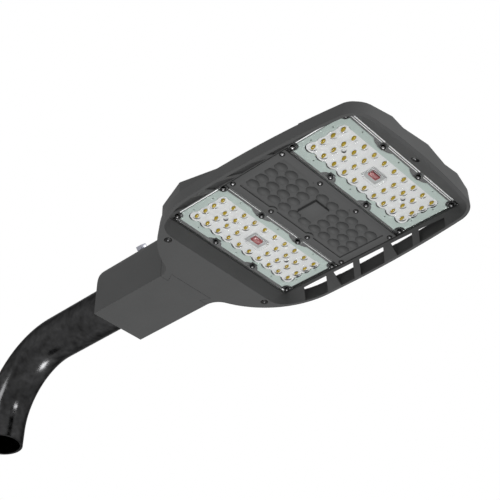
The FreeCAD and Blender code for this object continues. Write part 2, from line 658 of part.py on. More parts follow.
# Frame screws: two up into the housing's rear posts, one into its tip post.
frame_screw_long = size("frame_screw_long")
frame_screws = [screw(x, y, rear_seat_z, "frame_screw", frame_screw_long) for x, y in rear_posts]
frame_screws.append(screw(*tip_post, tip_seat_z, "frame_screw", frame_screw_long))
group("frame_screws", frame_screws)

# Upper housing: deck, sloped roof over the driver room, and fins towards the tip.
housing = new_body("upper_housing")
inset = size("deck_inset")
deck_y = size("deck_half")
deck = rim_half(inset, inset, 0, head_rear)
rear = rim_half(size("shoulder_inset"), inset, 0, head_rear)
rear_r = size("shoulder_radius") - size("shoulder_inset")
cheek_off = size("cheek_start") - shoulder_centre.y
cheek_start = Vector(shoulder_centre.x - math.sqrt(rear_r ** 2 - cheek_off ** 2), size("cheek_start"), 0)
cheek_end = Vector(-size("cheek_end"), deck_y, 0)
flare_x = size("deck_flare")
flare_r = size("side_radius") - inset
flare_y = side_centre.y + math.sqrt(flare_r ** 2 - (flare_x - side_centre.x) ** 2)
flare_in = Vector(flare_x, deck_y, 0)
flare_out = Vector(flare_x, flare_y, 0)
neck_end = rear[0][2]
side_end = deck[3][2]
corner_end = deck[4][2]
neck_bow = on_arc(shoulder_centre, rear_r, (neck_end + cheek_start) * 0.5)
housing_half = [rear[0], (neck_end, neck_bow, cheek_start), (cheek_start, None, cheek_end),
                (cheek_end, None, flare_in), (flare_in, None, flare_out),
                (flare_out, on_arc(side_centre, flare_r, (flare_out + side_end) * 0.5), side_end),
                deck[4], (corner_end, None, tip_point(0, inset))]


def draw_outline(sketch, half):
    """Draws both halves of an outline; every arc turns less than half way round."""
    for edge in closed(half).Edges:
        start = edge.Vertexes[0].Point
        end = edge.Vertexes[1].Point
        if isinstance(edge.Curve, Part.Line):
            sketch.addGeometry(Part.LineSegment(start, end))
            continue
        centre = edge.Curve.Center
        first = math.atan2(start.y - centre.y, start.x - centre.x)
        last = math.atan2(end.y - centre.y, end.x - centre.x)
        if (last - first) % (2 * math.pi) > math.pi:
            first, last = last, first
        circle = Part.Circle(centre, Vector(0, 0, 1), edge.Curve.Radius)
        sketch.addGeometry(Part.ArcOfCircle(circle, first, last))


plan = new_sketch(housing, "housing_plan")
draw_outline(plan, housing_half)
extrude("Pad", plan, "dims.crest_height")


def roof(x):
    """Height of the roof's outside between its break and the middle of the head."""
    return roof_z + (x + size("roof_break")) * (size("roof_knee") - roof_z) / size("roof_break")


tip_x = size("tip_reach")
roof_cut = new_sketch(housing, "roof_cut", "XZ_Plane")
draw(roof_cut, [(-size("roof_break"), roof_z), (0, roof(0)), (tip_x, size("roof_tip")),
                (tip_x, roof_z + 1), (-size("roof_break"), roof_z + 1)])
extrude("Pocket", roof_cut, "2 * dims.rim_half_width", SideType="Symmetric")

deck_z = size("deck_thick")
fin_pitch = size("fin_pitch")
slot_count = int((2 * deck_y - size("fin_thick")) / fin_pitch)
slot_front = tip_x - inset - size("fin_end_wall")
slot_length = slot_front + size("fin_back")
slot = new_sketch(housing, "fin_slot", lift=deck_z)
draw_rectangle(slot, slot_length, fin_pitch - size("fin_thick"),
               slot_front - slot_length / 2, -(slot_count - 1) * fin_pitch / 2)
slot_cut = extrude("Pocket", slot, "dims.crest_height", Reversed=True)
fins = housing.newObject("PartDesign::LinearPattern", "fins")
fins.Originals = [slot_cut]
fins.Direction = (slot, ["V_Axis"])
fins.setExpression("Length", "%d * dims.fin_pitch" % (slot_count - 1))
fins.Occurrences = slot_count
housing.Tip = fins
doc.recompute()

room_back = -size("room_back")
room_front = -size("room_front")
room_floor = -size("room_floor")
roof_thick = size("roof_thick")
room = new_sketch(housing, "driver_room", "XZ_Plane")
draw(room, [(room_back, 0), (room_floor, 0), (room_floor, deck_z), (room_front, deck_z),
            (room_front, roof(room_front) - roof_thick), (room_back, roof(room_back) - roof_thick)])
extrude("Pocket", room, "2 * dims.room_half", SideType="Symmetric")
gland_hole = new_sketch(housing, "gland_hole", "YZ_Plane", head_rear)
draw_circles(gland_hole, [(0, axis_z)], "dims.gland_thread + 2 * dims.screw_clearance")
extrude("Pocket", gland_hole, "dims.neck_length - dims.room_back", Reversed=True)
neck_holes = new_sketch(housing, "neck_screw_holes", "YZ_Plane", head_rear)
draw_circles(neck_holes, socket_screw_places, "dims.socket_screw_size + 2 * dims.screw_clearance")
extrude("Pocket", neck_holes, "dims.socket_screw_grip", Reversed=True)

rear_post = new_sketch(housing, "rear_posts")
draw_circles(rear_post, rear_posts, "dims.post_width")
extrude("Pad", rear_post, "dims.rim_drop - dims.rear_boss_high", Reversed=True)
front_post = new_sketch(housing, "tip_post")
draw_circles(front_post, [tip_post], "dims.post_width")
extrude("Pad", front_post, "dims.tip_seat_drop - dims.tip_boss_high", Reversed=True)
rear_hole = new_sketch(housing, "rear_post_holes", lift=rear_boss_z)
draw_circles(rear_hole, rear_posts, "dims.frame_screw_size + 2 * dims.screw_clearance")
extrude("Pocket", rear_hole, "dims.frame_screw_long + dims.rear_seat_deep - dims.rear_boss_high"
        " + dims.screw_clearance", Reversed=True)
front_hole = new_sketch(housing, "tip_post_hole", lift=tip_boss_z)
draw_circles(front_hole, [tip_post], "dims.frame_screw_size + 2 * dims.screw_clearance")
extrude("Pocket", front_hole, "dims.frame_screw_long - dims.tip_boss_high + dims.screw_clearance",
        Reversed=True)

bay_x = [k * size("bay_pitch") for k in (-1, 0, 1)]
plate_screws = mirrored([(i * size("plate_screw_x"), y) for i in (-1, 1)
                         for y in (size("plate_screw_mid"), size("plate_screw_end"))])
all_plate_screws = [(x + dx, y) for x in bay_x for dx, y in plate_screws]
board_screw_y = size("board_screw_steps") * size("led_pitch_y")
board_screws = mirrored([(0, board_screw_y)])
ears = new_sketch(housing, "plate_ears")
for x, y in all_plate_screws:
    draw_rectangle(ears, size("ear_side"), size("ear_side"), x, y)
extrude("Pad", ears, "dims.gasket_thick", Reversed=True)
ear_holes = new_sketch(housing, "plate_screw_holes", lift=plate_back_z)
draw_circles(ear_holes, all_plate_screws, "dims.plate_screw_size + 2 * dims.screw_clearance")
extrude("Pocket", ear_holes, "dims.gasket_thick + dims.plate_screw_grip", Reversed=True)
board_holes = new_sketch(housing, "board_screw_holes")
draw_circles(board_holes, [(x + dx, y) for x in (bay_x[0], bay_x[2]) for dx, y in board_screws],
             "dims.board_screw_size + 2 * dims.screw_clearance")
extrude("Pocket", board_holes, "dims.board_screw_grip", Reversed=True)

driver_x = -size("driver_back")
driver_y = size("driver_length") / 2 + size("driver_tab") + size("room_gap") - size("room_half")
driver_end = (size("driver_length") + size("driver_tab")) / 2
driver_screw_places = [(driver_x, driver_y - driver_end), (driver_x, driver_y + driver_end)]
driver_holes = new_sketch(housing, "driver_screw_holes", lift=deck_z)
draw_circles(driver_holes, driver_screw_places, "dims.driver_screw_size + 2 * dims.screw_clearance")
extrude("Pocket", driver_holes, "dims.driver_screw_grip")
keep(housing, "upper_housing")

# Bay gasket: between the frame's upstand and the deck, around the driver room's hatch.
bay_gasket = doc.addObject("Part::Feature", "bay_gasket")
bay_gasket.Shape = bay_ring(seal_z, 0)
keep(bay_gasket, "bay_gasket")

# Cable gland: a nut on the driver room's rear wall and a stem in the neck's hole.
nut = hexagon(size("gland_flats"), size("gland_nut"))
nut.rotate(Vector(0, 0, 0), Vector(0, 1, 0), 90)
nut.translate(Vector(room_back, 0, axis_z))
stem_start = Vector(room_back - size("gland_stem"), 0, axis_z)
stem = Part.makeCylinder(size("gland_thread") / 2, size("gland_stem"), stem_start, forward)
gland_long = size("gland_stem") + size("gland_nut")
cable_hole = Part.makeCylinder(size("gland_bore") / 2, gland_long, stem_start, forward)
gland = doc.addObject("Part::Feature", "cable_gland")
gland.Shape = nut.fuse(stem).cut(cable_hole)
keep(gland, "cable_gland")

# Driver: a case on a base plate whose ends are screwed to the deck.
driver = new_body("led_driver")
driver_base = new_sketch(driver, "driver_base", lift=deck_z)
base_long = size("driver_length") + 2 * size("driver_tab")
draw_rectangle(driver_base, size("driver_width"), base_long, driver_x, driver_y)
extrude("Pad", driver_base, "dims.driver_tab_thick")
driver_case = new_sketch(driver, "driver_case", lift=deck_z)
draw_rectangle(driver_case, size("driver_width"), size("driver_length"), driver_x, driver_y)
extrude("Pad", driver_case, "dims.driver_high")
tab_z = deck_z + size("driver_tab_thick")
tab_holes = new_sketch(driver, "driver_tab_holes", lift=tab_z)
draw_circles(tab_holes, driver_screw_places, "dims.driver_screw_size + 2 * dims.screw_clearance")
extrude("Pocket", tab_holes, "dims.driver_tab_thick")
keep(driver, "led_driver")
driver_screw_long = tab_z - deck_z + size("driver_screw_grip") - size("screw_clearance")
group("driver_screws", [screw(x, y, tab_z, "driver_screw", driver_screw_long, -1)
                        for x, y in driver_screw_places])

# Surge protector and terminal block: beside the driver on the deck.
gap = size("room_gap")
side_y0 = driver_y + size("driver_length") / 2 + size("driver_tab") + gap
side_wide = size("room_half") - gap - side_y0
side_y = side_y0 + side_wide / 2
surge_x = room_floor + gap + size("surge_width") / 2
surge = new_body("surge_protector")
surge_plan = new_sketch(surge, "surge_plan", lift=deck_z)
draw_rectangle(surge_plan, size("surge_width"), side_wide, surge_x, side_y)
extrude("Pad", surge_plan, "dims.surge_high")
keep(surge, "surge_protector")
terminal_x = surge_x + (size("surge_width") + size("terminal_width")) / 2 + gap
terminal = new_body("terminal_block")
terminal_plan = new_sketch(terminal, "terminal_plan", lift=deck_z)
draw_rectangle(terminal_plan, size("terminal_width"), side_wide, terminal_x, side_y)
extrude("Pad", terminal_plan, "dims.terminal_high")
wells = new_sketch(terminal, "terminal_wells", lift=deck_z + size("terminal_high"))
for k in (-1, 0, 1):
    draw_rectangle(wells, size("terminal_well"), size("terminal_well"),
                   terminal_x + k * size("terminal_width") / 3, side_y)
extrude("Pocket", wells, "dims.terminal_high / 2")
keep(terminal, "terminal_block")

# LED places on a board: four by ten, less the two by two in the middle where the plug is.
led_places = [((i - 1.5) * size("led_pitch_x"), (j - 4.5) * size("led_pitch_y"))
              for i in range(4) for j in range(10) if not (i in (1, 2) and j in (4, 5))]
square_x = size("square_width")
square_y = size("square_length")


def gasket(label, along):
    """Flat seal around a board, notched at the deck's ears."""
    body = new_body(label)
    outline = new_sketch(body, label + "_outline")
    draw_rectangle(outline, size("gasket_width"), size("gasket_length"))
    draw_rectangle(outline, size("board_width") + 2 * size("board_gap"),
                   size("board_length") + 2 * size("board_gap"))
    extrude("Pad", outline, "dims.gasket_thick", Reversed=True)
    notches = new_sketch(body, label + "_notches")
    notch_side = size("ear_side") + 2 * size("ear_gap")
    for x, y in plate_screws:
        draw_rectangle(notches, notch_side, notch_side, x, y)
    extrude("Pocket", notches, "dims.gasket_thick")
    keep(body, label, along)


def oval(sides, width, length, x, y):
    turn = math.pi / sides
    return [(x + width / 2 * math.cos(turn + 2 * turn * k), y + length / 2 * math.sin(turn + 2 * turn * k))
            for k in range(sides)]


def module(name, along):
    """One LED module: board, chips, plug, board screws, seal, lens plate and plate screws."""
    board = new_body(name + "_led_board")
    board_plan = new_sketch(board, name + "_board_plan")
    draw_rectangle(board_plan, size("board_width"), size("board_length"))
    extrude("Pad", board_plan, "dims.board_thick", Reversed=True)
    holes = new_sketch(board, name + "_board_holes")
    draw_circles(holes, board_screws, "dims.board_screw_size + 2 * dims.screw_clearance")
    extrude("Pocket", holes, "dims.board_thick")
    keep(board, name + "_led_board", along)

    board_z = -size("board_thick")
    chip = size("chip_side")
    chip_z = board_z - size("chip_high")
    chips = [Part.makeBox(chip, chip, size("chip_high"), Vector(x - chip / 2, y - chip / 2, chip_z))
             for x, y in led_places]
    group(name + "_led_chips", chips, along)

    plug = new_body(name + "_board_connector")
    plug_plan = new_sketch(plug, name + "_plug_plan", lift=board_z)
    draw_rectangle(plug_plan, size("plug_width"), size("plug_length"))
    extrude("Pad", plug_plan, "dims.plug_high", Reversed=True)
    keep(plug, name + "_board_connector", along)

    board_screw_long = size("board_thick") + size("board_screw_grip") - size("screw_clearance")
    low_screws = [screw(x, y, board_z, "board_screw", board_screw_long) for x, y in board_screws]
    group(name + "_board_screws", low_screws, along)
    gasket(name + "_lens_gasket", along)

    flange = Part.makeBox(plate_x, size("bay_length"), size("lens_flange"),
                          Vector(-plate_x / 2, -size("bay_length") / 2, lens_z))
    lens_r = size("lens_width") / 2
    lens_low = lens_z - size("lens_high")
    lens_top = lens_r - size("lens_high") * math.tan(math.radians(size("lens_draft")))
    section = [(0, plate_back_z), (lens_r, plate_back_z), (lens_r, lens_z), (lens_top, lens_low),
               (0, lens_low)]
    lenses = [turned(section, x, y) for x, y in led_places]
    lenses.append(Part.makeBox(square_x, square_y, size("lens_high"),
                               Vector(-square_x / 2, -square_y / 2, lens_low)))
    room_x = size("plug_width") + 2 * size("plug_gap")
    room_y = size("plug_length") + 2 * size("plug_gap")
    room_z = lens_low + size("plug_cover")
    cutters = [Part.makeBox(room_x, room_y, plate_back_z - room_z, Vector(-room_x / 2, -room_y / 2, room_z))]
    hole_radius = size("plate_screw_size") / 2 + size("screw_clearance")
    cutters += [Part.makeCylinder(hole_radius, size("lens_flange"), Vector(x, y, lens_z))
                for x, y in plate_screws]
    plate = doc.addObject("Part::Feature", name + "_lens_plate")
    plate.Shape = flange.fuse(lenses).cut(cutters).removeSplitter()
    keep(plate, name + "_lens_plate", along)
    lens_screw_long = size("plate_screw_grip") - lens_z - size("screw_clearance")
    high_screws = [screw(x, y, lens_z, "plate_screw", lens_screw_long) for x, y in plate_screws]
    group(name + "_module_screws", high_screws, along)


module("rear", REAR_BAY)
module("front", FRONT_BAY)

# Blank cover: closes the middle bay, with oval bosses standing in a sunken field.
field_x = size("cover_field_width") / 2
field_y = size("cover_field_length") / 2
ear_x = size("plate_screw_x")
ear_y = size("plate_screw_mid")
ear_r = size("cover_ear") / 2
ear_rise = math.sqrt(ear_r ** 2 - (ear_x - field_x) ** 2)


def ear_span(sign):
    """Rounded ear that bites into the field's front edge."""
    low = Vector(field_x, sign * ear_y - ear_rise, 0)
    high = Vector(field_x, sign * ear_y + ear_rise, 0)
    return low, Vector(ear_x - ear_r, sign * ear_y, 0), high


cover = new_body("blank_cover")
cover_plan = new_sketch(cover, "cover_plan", lift=cover_z)
draw_rectangle(cover_plan, plate_x, size("bay_length"))
extrude("Pad", cover_plan, "dims.cover_thick")
field = new_sketch(cover, "cover_field", lift=cover_z)
edge_ears = [ear_span(-1), ear_span(1)]
for sign in (-1, 1):
    stops = [Vector(sign * field_x, -field_y, 0)]
    for low, middle, high in edge_ears:
        stops += [Vector(sign * low.x, low.y, 0), Vector(sign * high.x, high.y, 0)]
        start = math.atan2(ear_rise, field_x - ear_x)
        circle = Part.Circle(Vector(sign * ear_x, (low.y + high.y) / 2, 0), Vector(0, 0, 1), ear_r)
        spread = math.pi - start
        centre_turn = math.pi if sign > 0 else 0.0
        field.addGeometry(Part.ArcOfCircle(circle, centre_turn - spread, centre_turn + spread))
    stops.append(Vector(sign * field_x, field_y, 0))
    for k in (0, 2, 4):
        field.addGeometry(Part.LineSegment(stops[k], stops[k + 1]))
for y in (-field_y, field_y):
    field.addGeometry(Part.LineSegment(Vector(-field_x, y, 0), Vector(field_x, y, 0)))
extrude("Pocket", field, "dims.cover_recess", Reversed=True)
bosses = new_sketch(cover, "cover_bosses", lift=cover_z + size("cover_recess"))
for x, y in led_places:
    draw(bosses, oval(16, size("boss_width"), size("boss_length"), x, y))
draw_rectangle(bosses, size("cover_square"), square_y)
extrude("Pad", bosses, "dims.boss_high", Reversed=True)
cover_holes = new_sketch(cover, "cover_holes", lift=plate_back_z)
draw_circles(cover_holes, plate_screws, "dims.plate_screw_size + 2 * dims.screw_clearance")
extrude("Pocket", cover_holes, "dims.cover_thick")
keep(cover, "blank_cover", MIDDLE_BAY)
gasket("cover_gasket", MIDDLE_BAY)
cover_screw_long = size("plate_screw_grip") - cover_z - size("screw_clearance")
group("cover_screws", [screw(x, y, cover_z, "plate_screw", cover_screw_long) for x, y in plate_screws])

doc.recompute()
for item in doc.Objects:
    if "Invalid" in item.State or "Error" in item.State:
        raise RuntimeError("%s: %s" % (item.Name, item.State))
    if hasattr(item, "Shape") and item.TypeId not in ("Sketcher::SketchObject", "App::Origin"):
        if item.Shape.isNull() or not item.Shape.isValid():
            raise RuntimeError("%s: bad shape" % item.Name)
os.makedirs("parts", exist_ok=True)
for piece in pieces:
    piece.Shape.exportStep("parts/%s.step" % piece.Label)
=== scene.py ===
"""Looks of an LED street light on its bent outreach arm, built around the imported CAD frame.

Metres, in the CAD frame: +Z is up and +X runs from the arm to the tip of the head.
"""
import json
import math

import bpy
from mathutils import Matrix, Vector

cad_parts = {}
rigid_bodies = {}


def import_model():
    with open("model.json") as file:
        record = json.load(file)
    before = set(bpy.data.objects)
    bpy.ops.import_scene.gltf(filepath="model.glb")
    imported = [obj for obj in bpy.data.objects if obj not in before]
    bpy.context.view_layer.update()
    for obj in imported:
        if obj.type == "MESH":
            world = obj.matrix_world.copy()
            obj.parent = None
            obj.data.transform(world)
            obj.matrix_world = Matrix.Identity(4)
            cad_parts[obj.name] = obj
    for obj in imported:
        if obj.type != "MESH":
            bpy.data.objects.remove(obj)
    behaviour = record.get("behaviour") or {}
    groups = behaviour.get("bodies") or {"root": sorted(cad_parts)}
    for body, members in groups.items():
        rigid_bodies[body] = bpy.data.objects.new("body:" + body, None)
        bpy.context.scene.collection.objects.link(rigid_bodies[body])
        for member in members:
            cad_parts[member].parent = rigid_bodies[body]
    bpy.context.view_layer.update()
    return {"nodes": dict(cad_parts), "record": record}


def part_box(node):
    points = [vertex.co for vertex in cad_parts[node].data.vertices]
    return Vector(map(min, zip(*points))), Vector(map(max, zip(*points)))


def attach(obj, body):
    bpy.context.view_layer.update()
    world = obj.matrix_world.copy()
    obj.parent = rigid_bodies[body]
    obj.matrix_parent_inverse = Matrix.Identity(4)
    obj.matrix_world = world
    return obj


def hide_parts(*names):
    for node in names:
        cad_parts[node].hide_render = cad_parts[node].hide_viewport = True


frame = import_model()
nodes = frame["nodes"]
MM = 0.001

# Outreach arm: a hollow steel pipe, bent cold and painted gloss black.
# Its lower end is held by the post, its level end slides into the socket.


def select_only(piece):
    """Leaves one piece selected and active, so that the next operators act on it alone."""
    for other in bpy.context.selected_objects:
        other.select_set(False)
    piece.select_set(True)
    bpy.context.view_layer.objects.active = piece


def name_new(name):
    """Names the object that was just added, and its mesh."""
    piece = bpy.context.object
    piece.name = name
    piece.data.name = name
    return piece


def pick(piece, test, kind="VERT"):
    """Selects, in edit mode, the vertices or faces whose place and normal pass the test."""
    bpy.ops.object.mode_set(mode="EDIT")
    bpy.ops.mesh.select_mode(type=kind)
    bpy.ops.mesh.select_all(action="DESELECT")
    bpy.ops.object.mode_set(mode="OBJECT")
    items = piece.data.vertices if kind == "VERT" else piece.data.polygons
    for item in items:
        place = item.co if kind == "VERT" else item.center
        item.select = bool(test(place, item.normal))
    bpy.ops.object.mode_set(mode="EDIT")


def apply_modifier(piece, kind, **settings):
    """Adds a modifier with these settings and applies it at once."""
    modifier = piece.modifiers.new(kind.lower(), kind)
    for key, value in settings.items():
        setattr(modifier, key, value)
    select_only(piece)
    bpy.ops.object.modifier_apply(modifier=modifier.name)


def settle(piece, turn=0.6):
    """Puts the piece's place into its mesh and smooths the edges flatter than the turn."""
    select_only(piece)
    bpy.ops.object.transform_apply(location=True, rotation=True, scale=True)
    bpy.ops.object.shade_smooth_by_angle(angle=turn)


def fit(piece, slot, *stood_for):
    """Fixes a finished piece to the light in place of the CAD nodes it stands for."""
    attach(piece, "root")
    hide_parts(*stood_for)


def new_material(name):
    """A material with a Principled shader; returns the material, its nodes, links and shader."""
    material = bpy.data.materials.new(name)
    material.use_nodes = True
    tree = material.node_tree
    return material, tree.nodes, tree.links, tree.nodes["Principled BSDF"]


def paint(piece, material):
    """Gives the whole piece one material."""
    piece.data.materials.clear()
    piece.data.materials.append(material)


def mottle_group():
    """Shader group: a colour that drifts between two tones, a roughness and a height, all from noise."""
    group = bpy.data.node_groups.new("mottle", "ShaderNodeTree")
    inputs = (("Dark", "NodeSocketColor"), ("Light", "NodeSocketColor"), ("Patch Scale", "NodeSocketFloat"),
              ("Grain Scale", "NodeSocketFloat"), ("Contrast", "NodeSocketFloat"),
              ("Smooth", "NodeSocketFloat"), ("Rough", "NodeSocketFloat"))
    for name, kind in inputs:
        group.interface.new_socket(name, in_out="INPUT", socket_type=kind)
    outputs = (("Color", "NodeSocketColor"), ("Roughness", "NodeSocketFloat"), ("Height", "NodeSocketFloat"))
    for name, kind in outputs:
        group.interface.new_socket(name, in_out="OUTPUT", socket_type=kind)
    entry = group.nodes.new("NodeGroupInput")
    leave = group.nodes.new("NodeGroupOutput")
    place = group.nodes.new("ShaderNodeTexCoord")
    patches = group.nodes.new("ShaderNodeTexNoise")
    patches.inputs["Detail"].default_value = 5
    grain = group.nodes.new("ShaderNodeTexNoise")
    grain.inputs["Detail"].default_value = 2
    blend = group.nodes.new("ShaderNodeMix")
    blend.data_type = "RGBA"
    sheen = group.nodes.new("ShaderNodeMix")
    both = group.nodes.new("ShaderNodeMath")
    both.operation = "MULTIPLY_ADD"
    both.inputs[1].default_value = 0.5
    link = group.links.new
    for noise, scale in ((patches, "Patch Scale"), (grain, "Grain Scale")):
        link(place.outputs["Object"], noise.inputs["Vector"])
        link(entry.outputs[scale], noise.inputs["Scale"])
    link(grain.outputs["Fac"], both.inputs[0])
    half = group.nodes.new("ShaderNodeMath")
    half.operation = "MULTIPLY"
    half.inputs[1].default_value = 0.5
    link(patches.outputs["Fac"], half.inputs[0])
    link(half.outputs[0], both.inputs[2])
    centred = group.nodes.new("ShaderNodeMath")
    centred.operation = "SUBTRACT"
    centred.inputs[1].default_value = 0.5
    spread = group.nodes.new("ShaderNodeMath")
    spread.operation = "MULTIPLY_ADD"
    spread.use_clamp = True
    spread.inputs[2].default_value = 0.5
    link(both.outputs[0], centred.inputs[0])
    link(centred.outputs[0], spread.inputs[0])
    link(entry.outputs["Contrast"], spread.inputs[1])
    link(spread.outputs[0], blend.inputs["Factor"])
    link(entry.outputs["Dark"], blend.inputs["A"])
    link(entry.outputs["Light"], blend.inputs["B"])
    link(spread.outputs[0], sheen.inputs["Factor"])
    link(entry.outputs["Smooth"], sheen.inputs["A"])
    link(entry.outputs["Rough"], sheen.inputs["B"])
    link(blend.outputs["Result"], leave.inputs["Color"])
    link(sheen.outputs["Result"], leave.inputs["Roughness"])
    link(grain.outputs["Fac"], leave.inputs["Height"])
    return group


mottle = mottle_group()


def mottled(name, dark, light, smooth, rough, patch_scale, grain_scale, relief, contrast=1.0, **sockets):
    """Material whose colour and roughness drift between two values, with a fine raised grain."""
    material, shader_nodes, links, shader = new_material(name)
    effect = shader_nodes.new("ShaderNodeGroup")
    effect.node_tree = mottle
    for key, value in (("Dark", (*dark, 1)), ("Light", (*light, 1)), ("Patch Scale", patch_scale),
                       ("Grain Scale", grain_scale), ("Contrast", contrast),
                       ("Smooth", smooth), ("Rough", rough)):
        effect.inputs[key].default_value = value
    links.new(effect.outputs["Color"], shader.inputs["Base Color"])
    links.new(effect.outputs["Roughness"], shader.inputs["Roughness"])
    bump = shader_nodes.new("ShaderNodeBump")
    bump.inputs["Strength"].default_value = 0.5
    bump.inputs["Distance"].default_value = relief
    links.new(effect.outputs["Height"], bump.inputs["Height"])
    links.new(bump.outputs["Normal"], shader.inputs["Normal"])
    for key, value in sockets.items():
        shader.inputs[key.replace("_", " ")].default_value = value
    return material


arm_low, arm_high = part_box("outreach_arm")
arm_radius = -arm_low.x
arm_axis_z = arm_high.z - arm_radius
arm_leg = frame["record"]["mounts"][0]["dims"]["length_mm"] * MM
arm_bend = arm_axis_z - arm_leg
ARM_WALL = 3.6 * MM
ARM_SIDES = 72
BEND_STEPS = 36
for thing in bpy.context.selected_objects:
    thing.select_set(False)
bpy.ops.mesh.primitive_circle_add(vertices=ARM_SIDES, radius=arm_radius, location=(0, 0, 0))
arm = name_new("arm_pipe")
bpy.ops.object.mode_set(mode="EDIT")
bpy.ops.mesh.select_all(action="SELECT")
bpy.ops.mesh.extrude_region_move(TRANSFORM_OT_translate={"value": (0, 0, arm_leg)})
bpy.ops.mesh.spin(steps=BEND_STEPS, angle=-math.pi / 2, center=(arm_bend, 0, arm_leg), axis=(0, 1, 0))
bpy.ops.mesh.extrude_region_move(TRANSFORM_OT_translate={"value": (arm_high.x - arm_bend, 0, 0)})
bpy.ops.mesh.select_all(action="SELECT")
bpy.ops.mesh.remove_doubles(threshold=0.01 * MM)
bpy.ops.mesh.normals_make_consistent(inside=False)
bpy.ops.object.mode_set(mode="OBJECT")
apply_modifier(arm, "SOLIDIFY", thickness=ARM_WALL, offset=-1, use_even_offset=True)
settle(arm)
gloss_black = mottled("gloss_black_pipe", (0.026, 0.026, 0.026), (0.1, 0.1, 0.102),
                      0.08, 0.3, 30, 110, 0.03 * MM, contrast=2.4,
                      Metallic=1.0, Specular_Tint=(0.4, 0.4, 0.4, 1))
paint(arm, gloss_black)
fit(arm, "pipe_black", "outreach_arm")

# Mounting socket: a die-cast aluminium box over the arm, powder-coated dark grey.
# Its edges are eased, its tongue locks under the head and two bolts pinch the arm in it.


def eased_copy(node, name, ease, turn=0.6):
    """Copy of a CAD node with its triangles merged into flat faces and its sharp edges rounded a little."""
    piece = bpy.data.objects.new(name, nodes[node].data.copy())
    piece.data.name = name
    bpy.context.scene.collection.objects.link(piece)
    select_only(piece)
    bpy.ops.mesh.customdata_custom_splitnormals_clear()
    bpy.ops.object.mode_set(mode="EDIT")
    bpy.ops.mesh.select_all(action="SELECT")
    bpy.ops.mesh.remove_doubles(threshold=0.005 * MM)
    bpy.ops.mesh.dissolve_limited(angle_limit=math.radians(0.5))
    bpy.ops.object.mode_set(mode="OBJECT")
    if ease:
        apply_modifier(piece, "BEVEL", width=ease, segments=2, limit_method="ANGLE",
                       angle_limit=math.radians(35), use_clamp_overlap=True)
    settle(piece, turn)
    return piece


CAST_EASE = 0.5 * MM
CAST_TURN = 0.3
cast_grey = mottled("cast_grey_powder_coat", (0.055, 0.056, 0.056), (0.095, 0.096, 0.096),
                    0.5, 0.62, 22, 900, 0.08 * MM, Specular_IOR_Level=0.25)
socket = eased_copy("mounting_socket", "socket_casting", CAST_EASE, CAST_TURN)
paint(socket, cast_grey)
fit(socket, "cast_grey", "mounting_socket")

# Clamp bolts: cold-headed hexagon bolts of zinc-plated steel.
# They screw through the socket's shoulders and pinch the arm.

BOLT_EASE = 0.4 * MM
zinc = mottled("zinc_plate", (0.5, 0.51, 0.58), (0.66, 0.67, 0.74),
               0.22, 0.38, 120, 900, 0.02 * MM, Metallic=0.9)
bolts = eased_copy("clamp_bolts", "clamp_bolt_pair", BOLT_EASE)
paint(bolts, zinc)
fit(bolts, "zinc", "clamp_bolts")

# Socket screws and cable gland: steel cap screws and a moulded black nylon gland, hidden in the neck.
# The screws hold the socket to the housing, and the cable enters through the gland.

steel = mottled("bright_steel", (0.4, 0.4, 0.42), (0.55, 0.55, 0.57),
                0.2, 0.35, 150, 900, 0.01 * MM, Metallic=1.0)
nylon = mottled("black_nylon", (0.012, 0.012, 0.012), (0.025, 0.025, 0.025), 0.4, 0.6, 60, 900, 0.02 * MM)
paint(nodes["socket_screws"], steel)
paint(nodes["cable_gland"], nylon)

# Upper housing: a die-cast aluminium heat sink with fins, in the same powder coat.
# It carries the boards on its deck, and the socket is screwed to its neck.

housing = eased_copy("upper_housing", "housing_casting", CAST_EASE, CAST_TURN)
paint(housing, cast_grey)
fit(housing, "cast_grey", "upper_housing")

# Driver room: the driver in its anodised case, held by steel screws, with a black surge protector
# and a cream terminal block beside it. A black rubber seal closes the room.

case = mottled("anodised_case", (0.5, 0.51, 0.52), (0.62, 0.63, 0.64),
               0.35, 0.5, 30, 700, 0.02 * MM, Metallic=0.8)
cream = mottled("cream_plastic", (0.6, 0.57, 0.48), (0.7, 0.67, 0.58), 0.4, 0.55, 50, 800, 0.02 * MM)
seal_black = mottled("black_rubber", (0.012, 0.012, 0.012), (0.024, 0.024, 0.024),
                     0.6, 0.8, 60, 900, 0.04 * MM)
paint(nodes["led_driver"], case)
paint(nodes["driver_screws"], steel)
paint(nodes["surge_protector"], nylon)
paint(nodes["terminal_block"], cream)
paint(nodes["bay_gasket"], seal_black)

# LED boards: aluminium boards with a white mask, held on the deck by two cup screws each.
# Round lobes stand out at the first LED row and at both ends.
# Each LED is a white package with an oval yellow cap.

board_white = mottled("white_board", (0.66, 0.67, 0.67), (0.8, 0.8, 0.8), 0.4, 0.55, 40, 500, 0.02 * MM)
phosphor = mottled("yellow_phosphor", (0.342, 0.236, 0.0045), (0.495, 0.355, 0.009),
                   0.4, 0.55, 300, 2000, 0.02 * MM, Specular_IOR_Level=0.2)
BAYS = ("rear", "front")
LED_ROWS = 4
LED_COLUMNS = 10
CHIP_SIDE = 3.5 * MM
CHIP_EASE = 0.15 * MM
CAP_RADIUS = 2.05 * MM
CAP_STRETCH = 1.95
CAP_TURN = -0.47
CAP_HIGH = 1.1 * MM
CAP_ROOT = 0.1 * MM
LOBE_RADIUS = 7.8 * MM
END_LOBE_RADIUS = 6.4 * MM
END_ROW = 80 * MM
CUP_STEPS = 3
CUP_HOLE = 3.1 * MM
CUP_OUTER = 2.98 * MM
CUP_INNER = 2.65 * MM
CUP_FLOOR = 0.6 * MM
CUP_GAP = 0.2 * MM
CUP_ROOM = 6 * MM


